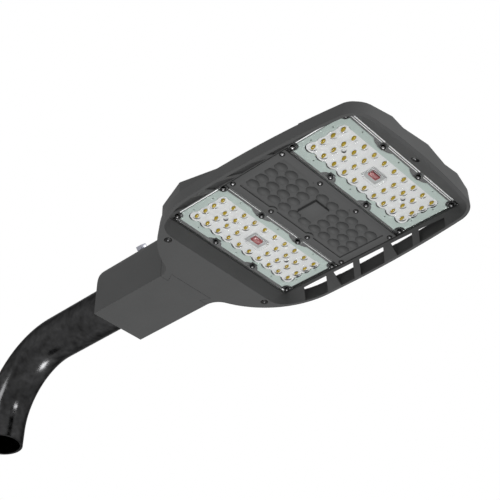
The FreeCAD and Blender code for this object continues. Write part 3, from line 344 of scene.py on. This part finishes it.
def led_grid(bay):
    """Middle of a bay's board and its LED places, read from its chips."""
    low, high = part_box(bay + "_led_chips")
    middle = (low + high) / 2
    step_x = (high.x - low.x - CHIP_SIDE) / (LED_ROWS - 1)
    step_y = (high.y - low.y - CHIP_SIDE) / (LED_COLUMNS - 1)
    return middle, [
        (middle.x + (i - (LED_ROWS - 1) / 2) * step_x, middle.y + (j - (LED_COLUMNS - 1) / 2) * step_y)
        for i in range(LED_ROWS) for j in range(LED_COLUMNS)
        if not (i in (1, 2) and j in (4, 5))]


def end_places(middle, places):
    """The LED places at both ends of the rows."""
    return [spot for spot in places if abs(spot[1] - middle.y) > END_ROW]


def repeat_at(piece, places):
    """Copies the piece to each further place and joins the copies to it."""
    first = Vector((*places[0], 0))
    copies = []
    for x, y in places[1:]:
        copy = piece.copy()
        copy.data = piece.data.copy()
        bpy.context.scene.collection.objects.link(copy)
        copy.location = piece.location + Vector((x, y, 0)) - first
        copies.append(copy)
    select_only(piece)
    for copy in copies:
        copy.select_set(True)
    bpy.ops.object.join()
    return piece


def join(piece, other):
    """Adds the other mesh to the piece, as loose parts."""
    select_only(piece)
    other.select_set(True)
    bpy.ops.object.join()


def dome(name, place, base, radius, high, root, rings=18, stretch=1.0):
    """Half ellipsoid that hangs from a level, cut flat a root's length above it.

    Stretch makes it longer along X.
    """
    bpy.ops.mesh.primitive_uv_sphere_add(segments=28, ring_count=rings, radius=radius,
                                         location=(*place, base))
    piece = name_new(name)
    piece.scale = (stretch, 1, high / radius)
    bpy.ops.object.transform_apply(location=False, rotation=False, scale=True)
    bpy.ops.object.mode_set(mode="EDIT")
    bpy.ops.mesh.select_all(action="SELECT")
    bpy.ops.mesh.bisect(plane_co=(*place, base + root), plane_no=(0, 0, 1), clear_outer=True, use_fill=True)
    bpy.ops.object.mode_set(mode="OBJECT")
    return piece


def unite(piece, other, operation="UNION"):
    """Adds the other solid to the piece, or cuts it out or keeps what they share, and removes it."""
    apply_modifier(piece, "BOOLEAN", operation=operation, object=other, solver="EXACT")
    bpy.data.objects.remove(other)


def punch(name, places, level, radius, stretch=1.0, depth=12 * MM):
    """Upright cylinders through a level; stretch makes them oval along Y."""
    bpy.ops.mesh.primitive_cylinder_add(vertices=48, radius=radius, depth=depth,
                                        location=(*places[0], level))
    piece = name_new(name)
    piece.scale.y = stretch
    return repeat_at(piece, places)


for bay in BAYS:
    middle, places = led_grid(bay)
    board_low, board_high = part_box(bay + "_led_board")
    board_middle_z = (board_low.z + board_high.z) / 2
    board_thick = board_high.z - board_low.z
    board = eased_copy(bay + "_led_board", bay + "_white_board", 0)
    unite(board, punch("board_lobes", places[:LED_COLUMNS], board_middle_z, LOBE_RADIUS, 1.0, board_thick))
    unite(board, punch("end_lobes", end_places(middle, places[LED_COLUMNS:]), board_middle_z,
                       END_LOBE_RADIUS, 1.0, board_thick))
    led_step = places[1][1] - places[0][1]
    cup_places = [(middle.x, middle.y + j * CUP_STEPS * led_step) for j in (-1, 1)]
    unite(board, punch("cup_holes", cup_places, board_middle_z, CUP_HOLE), "DIFFERENCE")
    settle(board)
    paint(board, board_white)
    fit(board, "board_white", bay + "_led_board")
    cups = eased_copy(bay + "_board_screws", bay + "_cup_screws", 0)
    unite(cups, punch("cup_walls", cup_places, board_middle_z, CUP_OUTER, 1.0, board_thick - CUP_GAP))
    unite(cups, punch("cup_rooms", cup_places, board_high.z - CUP_FLOOR - CUP_ROOM / 2, CUP_INNER, 1.0,
                      CUP_ROOM), "DIFFERENCE")
    settle(cups)
    # Painted shade: the cups' walls are black to show the shade inside each screw hole, and their floors take
    # the board's white.
    paint(cups, nylon)
    cups.data.materials.append(board_white)
    pick(cups, lambda place, normal: normal.z < -0.9, "FACE")
    cups.active_material_index = 1
    bpy.ops.object.material_slot_assign()
    bpy.ops.object.mode_set(mode="OBJECT")
    fit(cups, "screw_black", bay + "_board_screws")
    leds = eased_copy(bay + "_led_chips", bay + "_leds", CHIP_EASE)
    paint(leds, board_white)
    caps = dome(bay + "_led_domes", places[0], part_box(bay + "_led_chips")[0].z, CAP_RADIUS, CAP_HIGH,
                CAP_ROOT, stretch=CAP_STRETCH)
    caps.rotation_euler.z = CAP_TURN
    paint(caps, phosphor)
    join(leds, repeat_at(caps, places))
    settle(leds)
    fit(leds, "led_yellow", bay + "_led_chips")

# Board plugs: moulded red connectors with a paler sunk face, soldered to the middle of each board.
# A light grey pad surrounds each plug.

plug_red = mottled("red_plug", (0.26, 0.02, 0.023), (0.36, 0.04, 0.043), 0.3, 0.45, 200, 900, 0.02 * MM)
plug_pale = mottled("pale_plug_face", (0.34, 0.115, 0.115), (0.44, 0.185, 0.185),
                    0.4, 0.55, 400, 900, 0.02 * MM)
pad_grey = mottled("grey_plug_pad", (0.36, 0.37, 0.37), (0.46, 0.46, 0.46), 0.45, 0.6, 90, 900, 0.02 * MM)
PLUG_SHORTER = 1.9 * MM
PLUG_EASE = 0.4 * MM
PLUG_RIM = 1.2 * MM
PLUG_SINK = 0.5 * MM
PAD_X = 18.0 * MM
PAD_Y = 25.0 * MM
PAD_THICK = 0.6 * MM
SMALL_EASE = 0.2 * MM
PAD_GAP = Vector((0.3, 0.3, 3)) * MM


def bar(name, low, high, ease):
    """Box between two corners with its edges rounded."""
    low = Vector(low)
    high = Vector(high)
    bpy.ops.mesh.primitive_cube_add(size=1, location=(low + high) / 2)
    piece = name_new(name)
    piece.scale = high - low
    bpy.ops.object.transform_apply(location=True, rotation=True, scale=True)
    apply_modifier(piece, "BEVEL", width=ease, segments=2)
    return piece


for bay in BAYS:
    middle = led_grid(bay)[0]
    plug_low, plug_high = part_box(bay + "_board_connector")
    plug_low.z += PLUG_SHORTER
    plug = bar(bay + "_plug", plug_low, plug_high, PLUG_EASE)
    paint(plug, plug_red)
    plug.data.materials.append(plug_pale)
    pick(plug, lambda place, normal: normal.z < -0.99, "FACE")
    bpy.ops.mesh.inset(thickness=PLUG_RIM)
    bpy.ops.mesh.extrude_region_move(TRANSFORM_OT_translate={"value": (0, 0, PLUG_SINK)})
    plug.active_material_index = 1
    bpy.ops.object.material_slot_assign()
    bpy.ops.object.mode_set(mode="OBJECT")
    settle(plug)
    fit(plug, "plug_red", bay + "_board_connector")
    board_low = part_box(bay + "_led_board")[0]
    pad = bar(bay + "_plug_pad", (middle.x - PAD_X / 2, middle.y - PAD_Y / 2, board_low.z - PAD_THICK),
              (middle.x + PAD_X / 2, middle.y + PAD_Y / 2, board_low.z), SMALL_EASE)
    unite(pad, bar("plug_hole", plug_low - PAD_GAP, plug_high + PAD_GAP, SMALL_EASE), "DIFFERENCE")
    settle(pad)
    paint(pad, pad_grey)
    fit(pad, "board_white")

# Lens seals: pale silicone rings between plate and deck, cut round the screws and LEDs and punched with
# small locating holes. The deck's grey ears and edge strips stand beside them, in a grey painted lighter
# than the casting's coat to make up for the shade behind the plate.
# Black rings fill the gaps between seal and board; their black is painted shade, standing in for the
# dark edges that the lenses show there.

seal_pale = mottled("pale_seal", (0.43, 0.51, 0.475), (0.56, 0.64, 0.605), 0.6, 0.8, 60, 900, 0.03 * MM)
# Painted light: the deck's ears and strips get a grey lighter than the casting's coat, to make up for the
# shade they lie in behind the plate.
lightened_deck_grey = mottled("deck_coat_painted_light", (0.095, 0.096, 0.096), (0.15, 0.151, 0.151),
                    0.5, 0.62, 22, 900, 0.08 * MM, Specular_IOR_Level=0.25)
SCREW_X = 36.6 * MM
SCREW_MID = 32.8 * MM
SCREW_END = 98.1 * MM
EARS = ((-41.5 * MM, 8.5 * MM, 1.42), (39.5 * MM, 7.5 * MM, 2.4))
STRIP_HALF = 92.8 * MM
FACE_GAP = 0.1 * MM
SEAL_GAP = 0.2 * MM
SHANK_ROOM = 2.3 * MM
CORNER_ROOM = 6.6 * MM
ROW_ROOM = 9.2 * MM
END_ROOM = 7.2 * MM
HOLE_RADIUS = 1.0 * MM
HOLE_X = 33.8 * MM
HOLE_STEP = 65.4 * MM
END_HOLE_X = 15.2 * MM
END_HOLE_Y = 92.5 * MM
SEAT_DEEP = 1.4 * MM
SEAT_THICK = 2 * MM
SEAT_NEAR = 27.4 * MM
SEAT_FAR = 31 * MM
SEAT_REACH = 95 * MM
BOARD_HALF = 87.4 * MM
SEAL_EDGES = {"rear": ((-38.6 * MM, -98.4 * MM), (36.6 * MM, 99.4 * MM)),
              "front": ((-40.4 * MM, -98.4 * MM), (36.9 * MM, 101.0 * MM))}


def screw_places(centre, *along):
    """Screws on both sides of a bay, at these distances along it from its middle."""
    return [(centre.x + i * SCREW_X, centre.y + j * y) for i in (-1, 1) for j in (-1, 1) for y in along]


def move_edge(piece, axis, old, new):
    """Moves the piece's vertices at one end of an axis to a new place along it."""
    pick(piece, lambda place, normal: abs(place[axis] - old) < 0.1 * MM)
    shift = Vector()
    shift[axis] = new - old
    bpy.ops.transform.translate(value=shift)
    bpy.ops.object.mode_set(mode="OBJECT")


for bay in BAYS:
    middle, places = led_grid(bay)
    first_row = places[:LED_COLUMNS]
    seal_low, seal_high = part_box(bay + "_lens_gasket")
    seal = eased_copy(bay + "_lens_gasket", bay + "_pale_seal", 0)
    low_edge, high_edge = SEAL_EDGES[bay]
    for axis in (0, 1):
        move_edge(seal, axis, seal_low[axis], middle[axis] + low_edge[axis])
        move_edge(seal, axis, seal_high[axis], middle[axis] + high_edge[axis])
    plate_low, plate_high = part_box(bay + "_lens_plate")
    ear_z = seal_low.z + FACE_GAP
    near_x = plate_low.x + FACE_GAP
    far_x = plate_high.x - FACE_GAP
    deck_ears = bar(bay + "_deck_ears", (near_x, -STRIP_HALF, ear_z),
                    (middle.x + low_edge[0] - SEAL_GAP, STRIP_HALF, seal_high.z), FACE_GAP)
    join(deck_ears, bar("far_strip", (middle.x + high_edge[0] + SEAL_GAP, -STRIP_HALF, ear_z),
                        (far_x, STRIP_HALF, seal_high.z), FACE_GAP))
    for ear_x, ear_radius, ear_stretch in EARS:
        spots = [(middle.x + ear_x, middle.y + j * SCREW_MID) for j in (-1, 1)]
        unite(seal, punch("ear_cuts", spots, seal_low.z, ear_radius, ear_stretch), "DIFFERENCE")
        ears = bar("ears", (near_x, plate_low.y, ear_z), (far_x, plate_high.y, seal_high.z), FACE_GAP)
        unite(ears, punch("ear_discs", spots, seal_low.z, ear_radius - SEAL_GAP, ear_stretch), "INTERSECT")
        unite(deck_ears, ears)
    unite(deck_ears, punch("shank_holes", screw_places(middle, SCREW_MID), seal_low.z, SHANK_ROOM),
          "DIFFERENCE")
    settle(deck_ears)
    paint(deck_ears, lightened_deck_grey)
    fit(deck_ears, "cast_grey")
    holes = [(middle.x + i * HOLE_X, middle.y + j * HOLE_STEP) for i in (-1, 1) for j in (-1, 0, 1)]
    holes += [(middle.x + i * END_HOLE_X, middle.y + j * END_HOLE_Y) for i in (-1, 1) for j in (-1, 1)]
    for name, spots, radius in (("corner_cuts", screw_places(middle, SCREW_END), CORNER_ROOM),
                                ("row_cuts", first_row, ROW_ROOM),
                                ("end_cuts", end_places(middle, places), END_ROOM),
                                ("hole_cuts", holes, HOLE_RADIUS)):
        unite(seal, punch(name, spots, seal_low.z, radius), "DIFFERENCE")
    settle(seal)
    paint(seal, seal_pale)
    fit(seal, "seal_pale", bay + "_lens_gasket")
    # Painted shade: black rings sunk in the gaps round the first-row and end LEDs stand in for the dark edges
    # that the lenses show there.
    seat_z = seal_low.z + SEAT_DEEP
    shade_rings = punch(bay + "_lens_shade_rings", first_row, seat_z, ROW_ROOM - FACE_GAP, 1.0, SEAT_THICK)
    unite(shade_rings, punch("seat_holes", first_row, seal_low.z, LOBE_RADIUS + FACE_GAP), "DIFFERENCE")
    unite(shade_rings, bar("row_side", (middle.x - SEAT_FAR, middle.y - SEAT_REACH, seal_low.z),
                     (middle.x - SEAT_NEAR, middle.y + SEAT_REACH, seal_high.z), FACE_GAP), "INTERSECT")
    ends = end_places(middle, places[LED_COLUMNS:])
    end_shade_rings = punch("end_shade_rings", ends, seat_z, END_ROOM - FACE_GAP, 1.0, SEAT_THICK)
    unite(end_shade_rings, bar("board_room", (middle.x - 40 * MM, middle.y - BOARD_HALF, seal_low.z - 1 * MM),
                         (middle.x + 40 * MM, middle.y + BOARD_HALF, seal_high.z + 1 * MM), FACE_GAP),
          "DIFFERENCE")
    unite(end_shade_rings, punch("end_seat_holes", ends, seal_low.z, END_LOBE_RADIUS + FACE_GAP), "DIFFERENCE")
    join(shade_rings, end_shade_rings)
    settle(shade_rings)
    paint(shade_rings, seal_black)
    fit(shade_rings, "seal_black")
paint(nodes["cover_gasket"], seal_pale)

# Lens plates: clear moulded polycarbonate, with a hollow lens over each LED and a raised square over the
# plug. Narrow ribs run along two edges in a faintly glowing white, a painted reflection of the plate's
# lit edges, and eight screws hold each plate.

clear, clear_nodes, clear_links, clear_shader = new_material("clear_polycarbonate")
clear_shader.inputs["Transmission Weight"].default_value = 1.0
clear_shader.inputs["IOR"].default_value = 1.13
clear_place = clear_nodes.new("ShaderNodeTexCoord")
clear_noise = clear_nodes.new("ShaderNodeTexNoise")
clear_noise.inputs["Scale"].default_value = 60
clear_range = clear_nodes.new("ShaderNodeMapRange")
clear_range.inputs["To Min"].default_value = 0.0
clear_range.inputs["To Max"].default_value = 0.02
clear_links.new(clear_place.outputs["Object"], clear_noise.inputs["Vector"])
clear_links.new(clear_noise.outputs["Fac"], clear_range.inputs["Value"])
clear_links.new(clear_range.outputs["Result"], clear_shader.inputs["Roughness"])
clear_tint = clear_nodes.new("ShaderNodeMix")
clear_tint.data_type = "RGBA"
clear_tint.inputs["A"].default_value = (0.97, 0.985, 0.98, 1)
clear_tint.inputs["B"].default_value = (0.99, 0.995, 0.995, 1)
clear_links.new(clear_noise.outputs["Fac"], clear_tint.inputs["Factor"])
clear_links.new(clear_tint.outputs["Result"], clear_shader.inputs["Base Color"])

# Painted reflection: the ribs' white glows a little, standing in for light caught along the plate's edges.
glowing_edge_white = mottled("painted_edge_reflection", (0.7, 0.72, 0.72), (0.9, 0.91, 0.91), 0.4, 0.6, 90, 900, 0.01 * MM,
                  Emission_Color=(1, 1, 1, 1), Emission_Strength=0.3)
FLANGE_THICK = 2.4 * MM
LENS_RADIUS = 6.2 * MM
LENS_ROOT = 0.4 * MM
LENS_RINGS = 40
SQUARE_EASE = 2.0 * MM
HOLLOW_RADIUS = 4.6 * MM
HOLLOW_DEEP = 1.2 * MM
PLUG_GAP = Vector((4.6, 5.0, 0.4)) * MM
PLATE_TURN = 0.25
RIBS = {"rear": ((40.0 * MM, 0.5 * MM),), "front": ((39.5 * MM, 0.55 * MM), (41.7 * MM, 0.4 * MM))}
RIB_EASE = 0.03 * MM
RIB_LOW = 0.01 * MM
RIB_HIGH = 0.16 * MM
RIB_INSET = 4 * MM
END_RIB = (1.8 * MM, 2.4 * MM)
END_RIB_STOP = 6 * MM
plate_low, plate_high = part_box("rear_lens_plate")
middle, places = led_grid("rear")
back_z = plate_high.z - FACE_GAP
flange_z = plate_high.z - FLANGE_THICK
plate = bar("rear_clear_plate", (plate_low.x, plate_low.y, flange_z),
            (plate_high.x, plate_high.y, back_z), SMALL_EASE)
unite(plate, bar("plug_square", (middle.x - PAD_X / 2, middle.y - PAD_Y / 2, plate_low.z),
                 (middle.x + PAD_X / 2, middle.y + PAD_Y / 2, flange_z + 1 * MM), SQUARE_EASE))
cap = flange_z - plate_low.z
ball = (LENS_RADIUS ** 2 + cap ** 2) / (2 * cap)
unite(plate, repeat_at(dome("lenses", places[0], plate_low.z + ball, ball, ball,
                            flange_z + LENS_ROOT - plate_low.z - ball, LENS_RINGS), places))
hollow_tip = back_z - HOLLOW_DEEP
hollow_ball = (HOLLOW_RADIUS ** 2 + HOLLOW_DEEP ** 2) / (2 * HOLLOW_DEEP)
unite(plate, repeat_at(dome("hollows", places[0], hollow_tip + hollow_ball, hollow_ball, hollow_ball,
                            back_z + 0.3 * MM - hollow_tip - hollow_ball, LENS_RINGS), places),
      "DIFFERENCE")
plug_low, plug_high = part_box("rear_board_connector")
unite(plate, bar("plug_room", plug_low - PLUG_GAP, plug_high + PLUG_GAP, SMALL_EASE), "DIFFERENCE")
paint(plate, clear)
front_plate = plate.copy()
front_plate.data = plate.data.copy()
front_plate.name = front_plate.data.name = "front_clear_plate"
bpy.context.scene.collection.objects.link(front_plate)
front_plate.location.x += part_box("front_lens_plate")[0].x - plate_low.x


def rib(name, low_x, low_y, high_x, high_y):
    """Narrow rib on the back of a lens plate, beside the seal, in a glowing white that paints the edge's
    reflection.
    """
    return bar(name, (low_x, low_y, back_z + RIB_LOW), (high_x, high_y, back_z + RIB_HIGH), RIB_EASE)


for bay, clear_plate in zip(BAYS, (plate, front_plate)):
    settle(clear_plate, PLATE_TURN)
    low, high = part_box(bay + "_lens_plate")
    centre = (low + high) / 2
    ribs = rib("ribs", low.x + RIB_INSET, low.y + END_RIB[0], high.x - END_RIB_STOP, low.y + END_RIB[1])
    for start, width in RIBS[bay]:
        join(ribs, rib("edge_rib", centre.x + start, low.y + RIB_INSET,
                       centre.x + start + width, high.y - RIB_INSET))
    unite(ribs, punch("ear_room", screw_places(centre, SCREW_MID, SCREW_END), back_z, CORNER_ROOM),
          "DIFFERENCE")
    paint(ribs, glowing_edge_white)
    join(clear_plate, ribs)
    clear_plate.visible_shadow = False
    clear_plate.visible_diffuse = False
    fit(clear_plate, "lens_clear", bay + "_lens_plate")

# Blank cover: a die-cast plate over the unused middle bay, in a coat painted slightly paler than the rim's to
# stand in for light inside the bowl.
# Its oval bosses repeat the LED pattern round a raised square, and eight screws hold it.

COVER_THICK = 2.8 * MM
COVER_EASE = 0.4 * MM
FIELD_X = 33 * MM
FIELD_Y = 91 * MM
FIELD_DEEP = 1.5 * MM
FIELD_EASE = 1.2 * MM
COVER_EAR = 7.5 * MM
SQUARE_X = 14 * MM
SQUARE_Y = 12.5 * MM
COVER_SQUARE_EASE = 0.8 * MM
BOSS_LONG = 9.3 * MM
BOSS_STRETCH = 0.735
BOSS_HIGH = 4.2 * MM
cover_low, cover_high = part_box("blank_cover")
cover_middle = (cover_low + cover_high) / 2
cover_z = cover_high.z - COVER_THICK
field_z = cover_z + FIELD_DEEP
cover = bar("bossed_cover", (cover_low.x, cover_low.y, cover_z), cover_high, COVER_EASE)
unite(cover, bar("field_cut", (cover_middle.x - FIELD_X, cover_middle.y - FIELD_Y, cover_z - 4 * MM),
                 (cover_middle.x + FIELD_X, cover_middle.y + FIELD_Y, field_z), FIELD_EASE), "DIFFERENCE")
ears = screw_places(cover_middle, SCREW_MID)
bpy.ops.mesh.primitive_cylinder_add(vertices=48, radius=COVER_EAR, depth=2 * MM,
                                    location=(*ears[0], cover_z + 1.02 * MM))
ear = name_new("cover_ears")
apply_modifier(ear, "BEVEL", width=0.5 * MM, segments=2)
unite(cover, repeat_at(ear, ears))
unite(cover, bar("cover_square", (cover_middle.x - SQUARE_X, cover_middle.y - SQUARE_Y, cover_low.z),
                 (cover_middle.x + SQUARE_X, cover_middle.y + SQUARE_Y, field_z + 1 * MM), COVER_SQUARE_EASE))
shift = cover_middle - middle
boss_places = [(x + shift.x, y + shift.y) for x, y in places]
boss_z = cover_low.z + BOSS_HIGH
boss = dome("bosses", boss_places[0], boss_z, BOSS_LONG, BOSS_HIGH, field_z + 0.3 * MM - boss_z,
            LENS_RINGS, BOSS_STRETCH)
unite(cover, repeat_at(boss, boss_places))
settle(cover)
# Painted light: a paler copy of the casting's coat, standing in for light that reaches the cover inside the
# bowl.
lightened_cover_grey = mottled("cover_coat_painted_light", (0.065, 0.066, 0.066), (0.109, 0.11, 0.11),
                     0.5, 0.62, 22, 900, 0.08 * MM, Specular_IOR_Level=0.25)
paint(cover, lightened_cover_grey)
fit(cover, "cast_grey", "blank_cover")

# Plate and frame screws: black steel pan heads, their sockets bright steel as a painted glint.
# Eight hold each bay's plate or cover, and three hold the frame.

screw_black = mottled("black_screw", (0.002, 0.002, 0.002), (0.006, 0.006, 0.006),
                      0.06, 0.14, 200, 900, 0.01 * MM, Specular_IOR_Level=0.35)
# Painted highlight: bright steel in each socket stands in for a glint.
glint_socket_steel = mottled("glint_socket_steel", (0.8, 0.8, 0.81), (0.95, 0.95, 0.96),
                      0.15, 0.35, 400, 900, 0.01 * MM, Metallic=1.0)
SOCKET_RADIUS = 1.1 * MM


def pan_screw(name, place, seat, head, high, shank, length):
    """Pan-head screw that hangs from its seat, its shank pointing up."""
    bpy.ops.mesh.primitive_cylinder_add(vertices=32, radius=head / 2, depth=high,
                                        location=(*place, seat - high / 2))
    piece = name_new(name)
    paint(piece, screw_black)
    piece.data.materials.append(glint_socket_steel)
    pick(piece, lambda spot, normal: normal.z < -0.9, "FACE")
    bpy.ops.mesh.bevel(offset=0.5 * high, segments=4, affect="EDGES")
    pick(piece, lambda spot, normal: normal.z < -0.99 and spot.z < -0.45 * high, "FACE")
    bpy.ops.mesh.inset(thickness=head / 2 - 0.5 * high - SOCKET_RADIUS)
    bpy.ops.mesh.extrude_region_move(TRANSFORM_OT_translate={"value": (0, 0, 0.6 * high)})
    bpy.ops.mesh.select_more()
    # The socket's walls and floor take the bright steel, a painted glint.
    piece.active_material_index = 1
    bpy.ops.object.material_slot_assign()
    pick(piece, lambda spot, normal: normal.z > 0.9 and spot.z > 0.45 * high, "FACE")
    bpy.ops.mesh.inset(thickness=(head - shank) / 2)
    bpy.ops.mesh.extrude_region_move(TRANSFORM_OT_translate={"value": (0, 0, length)})
    bpy.ops.object.mode_set(mode="OBJECT")
    return piece


PLATE_HEAD = 6.6 * MM
PLATE_HEAD_HIGH = 1.2 * MM
PLATE_SHANK = 4 * MM
FRAME_HEAD = 9.2 * MM
FRAME_HEAD_HIGH = 3.0 * MM
TIP_HEAD_HIGH = 4.2 * MM
FRAME_SHANK = 4.8 * MM
FRAME_LONG = 14 * MM
SCREW_TURN = 0.7
for node, seat in (("rear_module_screws", flange_z), ("front_module_screws", flange_z),
                   ("cover_screws", cover_z)):
    low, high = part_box(node)
    spots = screw_places((low + high) / 2, SCREW_MID, SCREW_END)
    screw = pan_screw("black_" + node, spots[0], seat, PLATE_HEAD, PLATE_HEAD_HIGH,
                      PLATE_SHANK, high.z - seat)
    screws = repeat_at(screw, spots)
    settle(screws, SCREW_TURN)
    fit(screws, "screw_black", node)
low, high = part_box("frame_screws")
rear_spots = [(low.x + FRAME_HEAD / 2, j * (high.y - FRAME_HEAD / 2)) for j in (-1, 1)]
rear_screw = pan_screw("black_frame_screws", rear_spots[0], low.z + FRAME_HEAD_HIGH, FRAME_HEAD,
                       FRAME_HEAD_HIGH, FRAME_SHANK, FRAME_LONG)
frame_screws = repeat_at(rear_screw, rear_spots)
join(frame_screws, pan_screw("tip_screw", (high.x - FRAME_HEAD / 2, 0), high.z - FRAME_LONG, FRAME_HEAD,
                             TIP_HEAD_HIGH, FRAME_SHANK, FRAME_LONG))
settle(frame_screws, SCREW_TURN)
fit(frame_screws, "screw_black", "frame_screws")

# Lower frame: the die-cast rim that closes the head from below, in the same powder coat.
# Its edges are eased, and three screws pull it up against the housing.

RIM_EASE = 0.4 * MM
RIM_TURN = 0.2
rim = eased_copy("lower_frame", "rim_casting", RIM_EASE, RIM_TURN)
paint(rim, cast_grey)
fit(rim, "cast_grey", "lower_frame")

# Studio: a wide pale floor far below and an even white room.
# Soft lights stand beyond the tip, at the side and below.

FLOOR_Z = -2.6
FLOOR_SIZE = 60
FLOOR_GLOW = 0.4
ROOM_LIGHT = 0.515
bpy.ops.mesh.primitive_plane_add(size=FLOOR_SIZE, location=(0.4, 0, FLOOR_Z))
floor = name_new("studio_floor")
floor_paint, floor_nodes, floor_links, floor_shader = new_material("pale_floor")
floor_shader.inputs["Base Color"].default_value = (0.9, 0.9, 0.9, 1)
floor_shader.inputs["Roughness"].default_value = 0.9
floor_rays = floor_nodes.new("ShaderNodeLightPath")
floor_glow = floor_nodes.new("ShaderNodeMath")
floor_glow.operation = "MULTIPLY"
floor_glow.inputs[1].default_value = FLOOR_GLOW
floor_links.new(floor_rays.outputs["Is Camera Ray"], floor_glow.inputs[0])
floor_links.new(floor_glow.outputs[0], floor_shader.inputs["Emission Strength"])
floor_shader.inputs["Emission Color"].default_value = (1, 1, 1, 1)
paint(floor, floor_paint)

world = bpy.data.worlds.new("white_room")
bpy.context.scene.world = world
world.use_nodes = True
room = world.node_tree.nodes
room_links = world.node_tree.links
rays = room.new("ShaderNodeLightPath")
seen = room.new("ShaderNodeMath")
seen.operation = "MAXIMUM"
strength = room.new("ShaderNodeMapRange")
strength.inputs["To Min"].default_value = ROOM_LIGHT
strength.inputs["To Max"].default_value = 1.0
room_links.new(rays.outputs["Is Camera Ray"], seen.inputs[0])
room_links.new(rays.outputs["Is Transmission Ray"], seen.inputs[1])
room_links.new(seen.outputs[0], strength.inputs["Value"])
room_links.new(strength.outputs["Result"], room["Background"].inputs["Strength"])
room["Background"].inputs["Color"].default_value = (1, 1, 1, 1)


def soft_light(name, place, target, width, power):
    """Square area light that points at its target."""
    light = bpy.data.lights.new(name, "AREA")
    light.size = width
    light.energy = power
    lamp = bpy.data.objects.new(name, light)
    lamp.location = place
    lamp.rotation_euler = (Vector(target) - Vector(place)).to_track_quat("-Z", "Y").to_euler()
    bpy.context.scene.collection.objects.link(lamp)


rim_low, rim_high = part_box("lower_frame")
head_middle = (rim_low + rim_high) / 2
soft_light("tip_light", (2.6, 0.3, 0.3), head_middle, 0.7, 23)
soft_light("side_light", (0.2, -2.6, 0.55), head_middle, 0.8, 12)
soft_light("under_light", (-0.2, 0.85, -1.75), head_middle, 0.6, 15.5)

# Camera: below the head, looking up at it, as in the photograph.

CAMERA_AZIMUTH = math.radians(41.99)
CAMERA_RISE = math.radians(-37.57)
CAMERA_DISTANCE = 1.371
LOOK_AT = Vector((0.4491, 0.0105, 0.1097))
back = Vector((math.sin(CAMERA_AZIMUTH) * math.cos(CAMERA_RISE),
               -math.cos(CAMERA_AZIMUTH) * math.cos(CAMERA_RISE), math.sin(CAMERA_RISE)))
camera_data = bpy.data.cameras.new("photo_camera")
camera_data.sensor_width = 36
camera_data.lens = 81.0
camera = bpy.data.objects.new("photo_camera", camera_data)
camera.location = LOOK_AT + back * CAMERA_DISTANCE
camera.rotation_euler = (-back).to_track_quat("-Z", "Y").to_euler()
bpy.context.scene.collection.objects.link(camera)
bpy.context.scene.camera = camera
bpy.context.scene.view_settings.view_transform = "Standard"
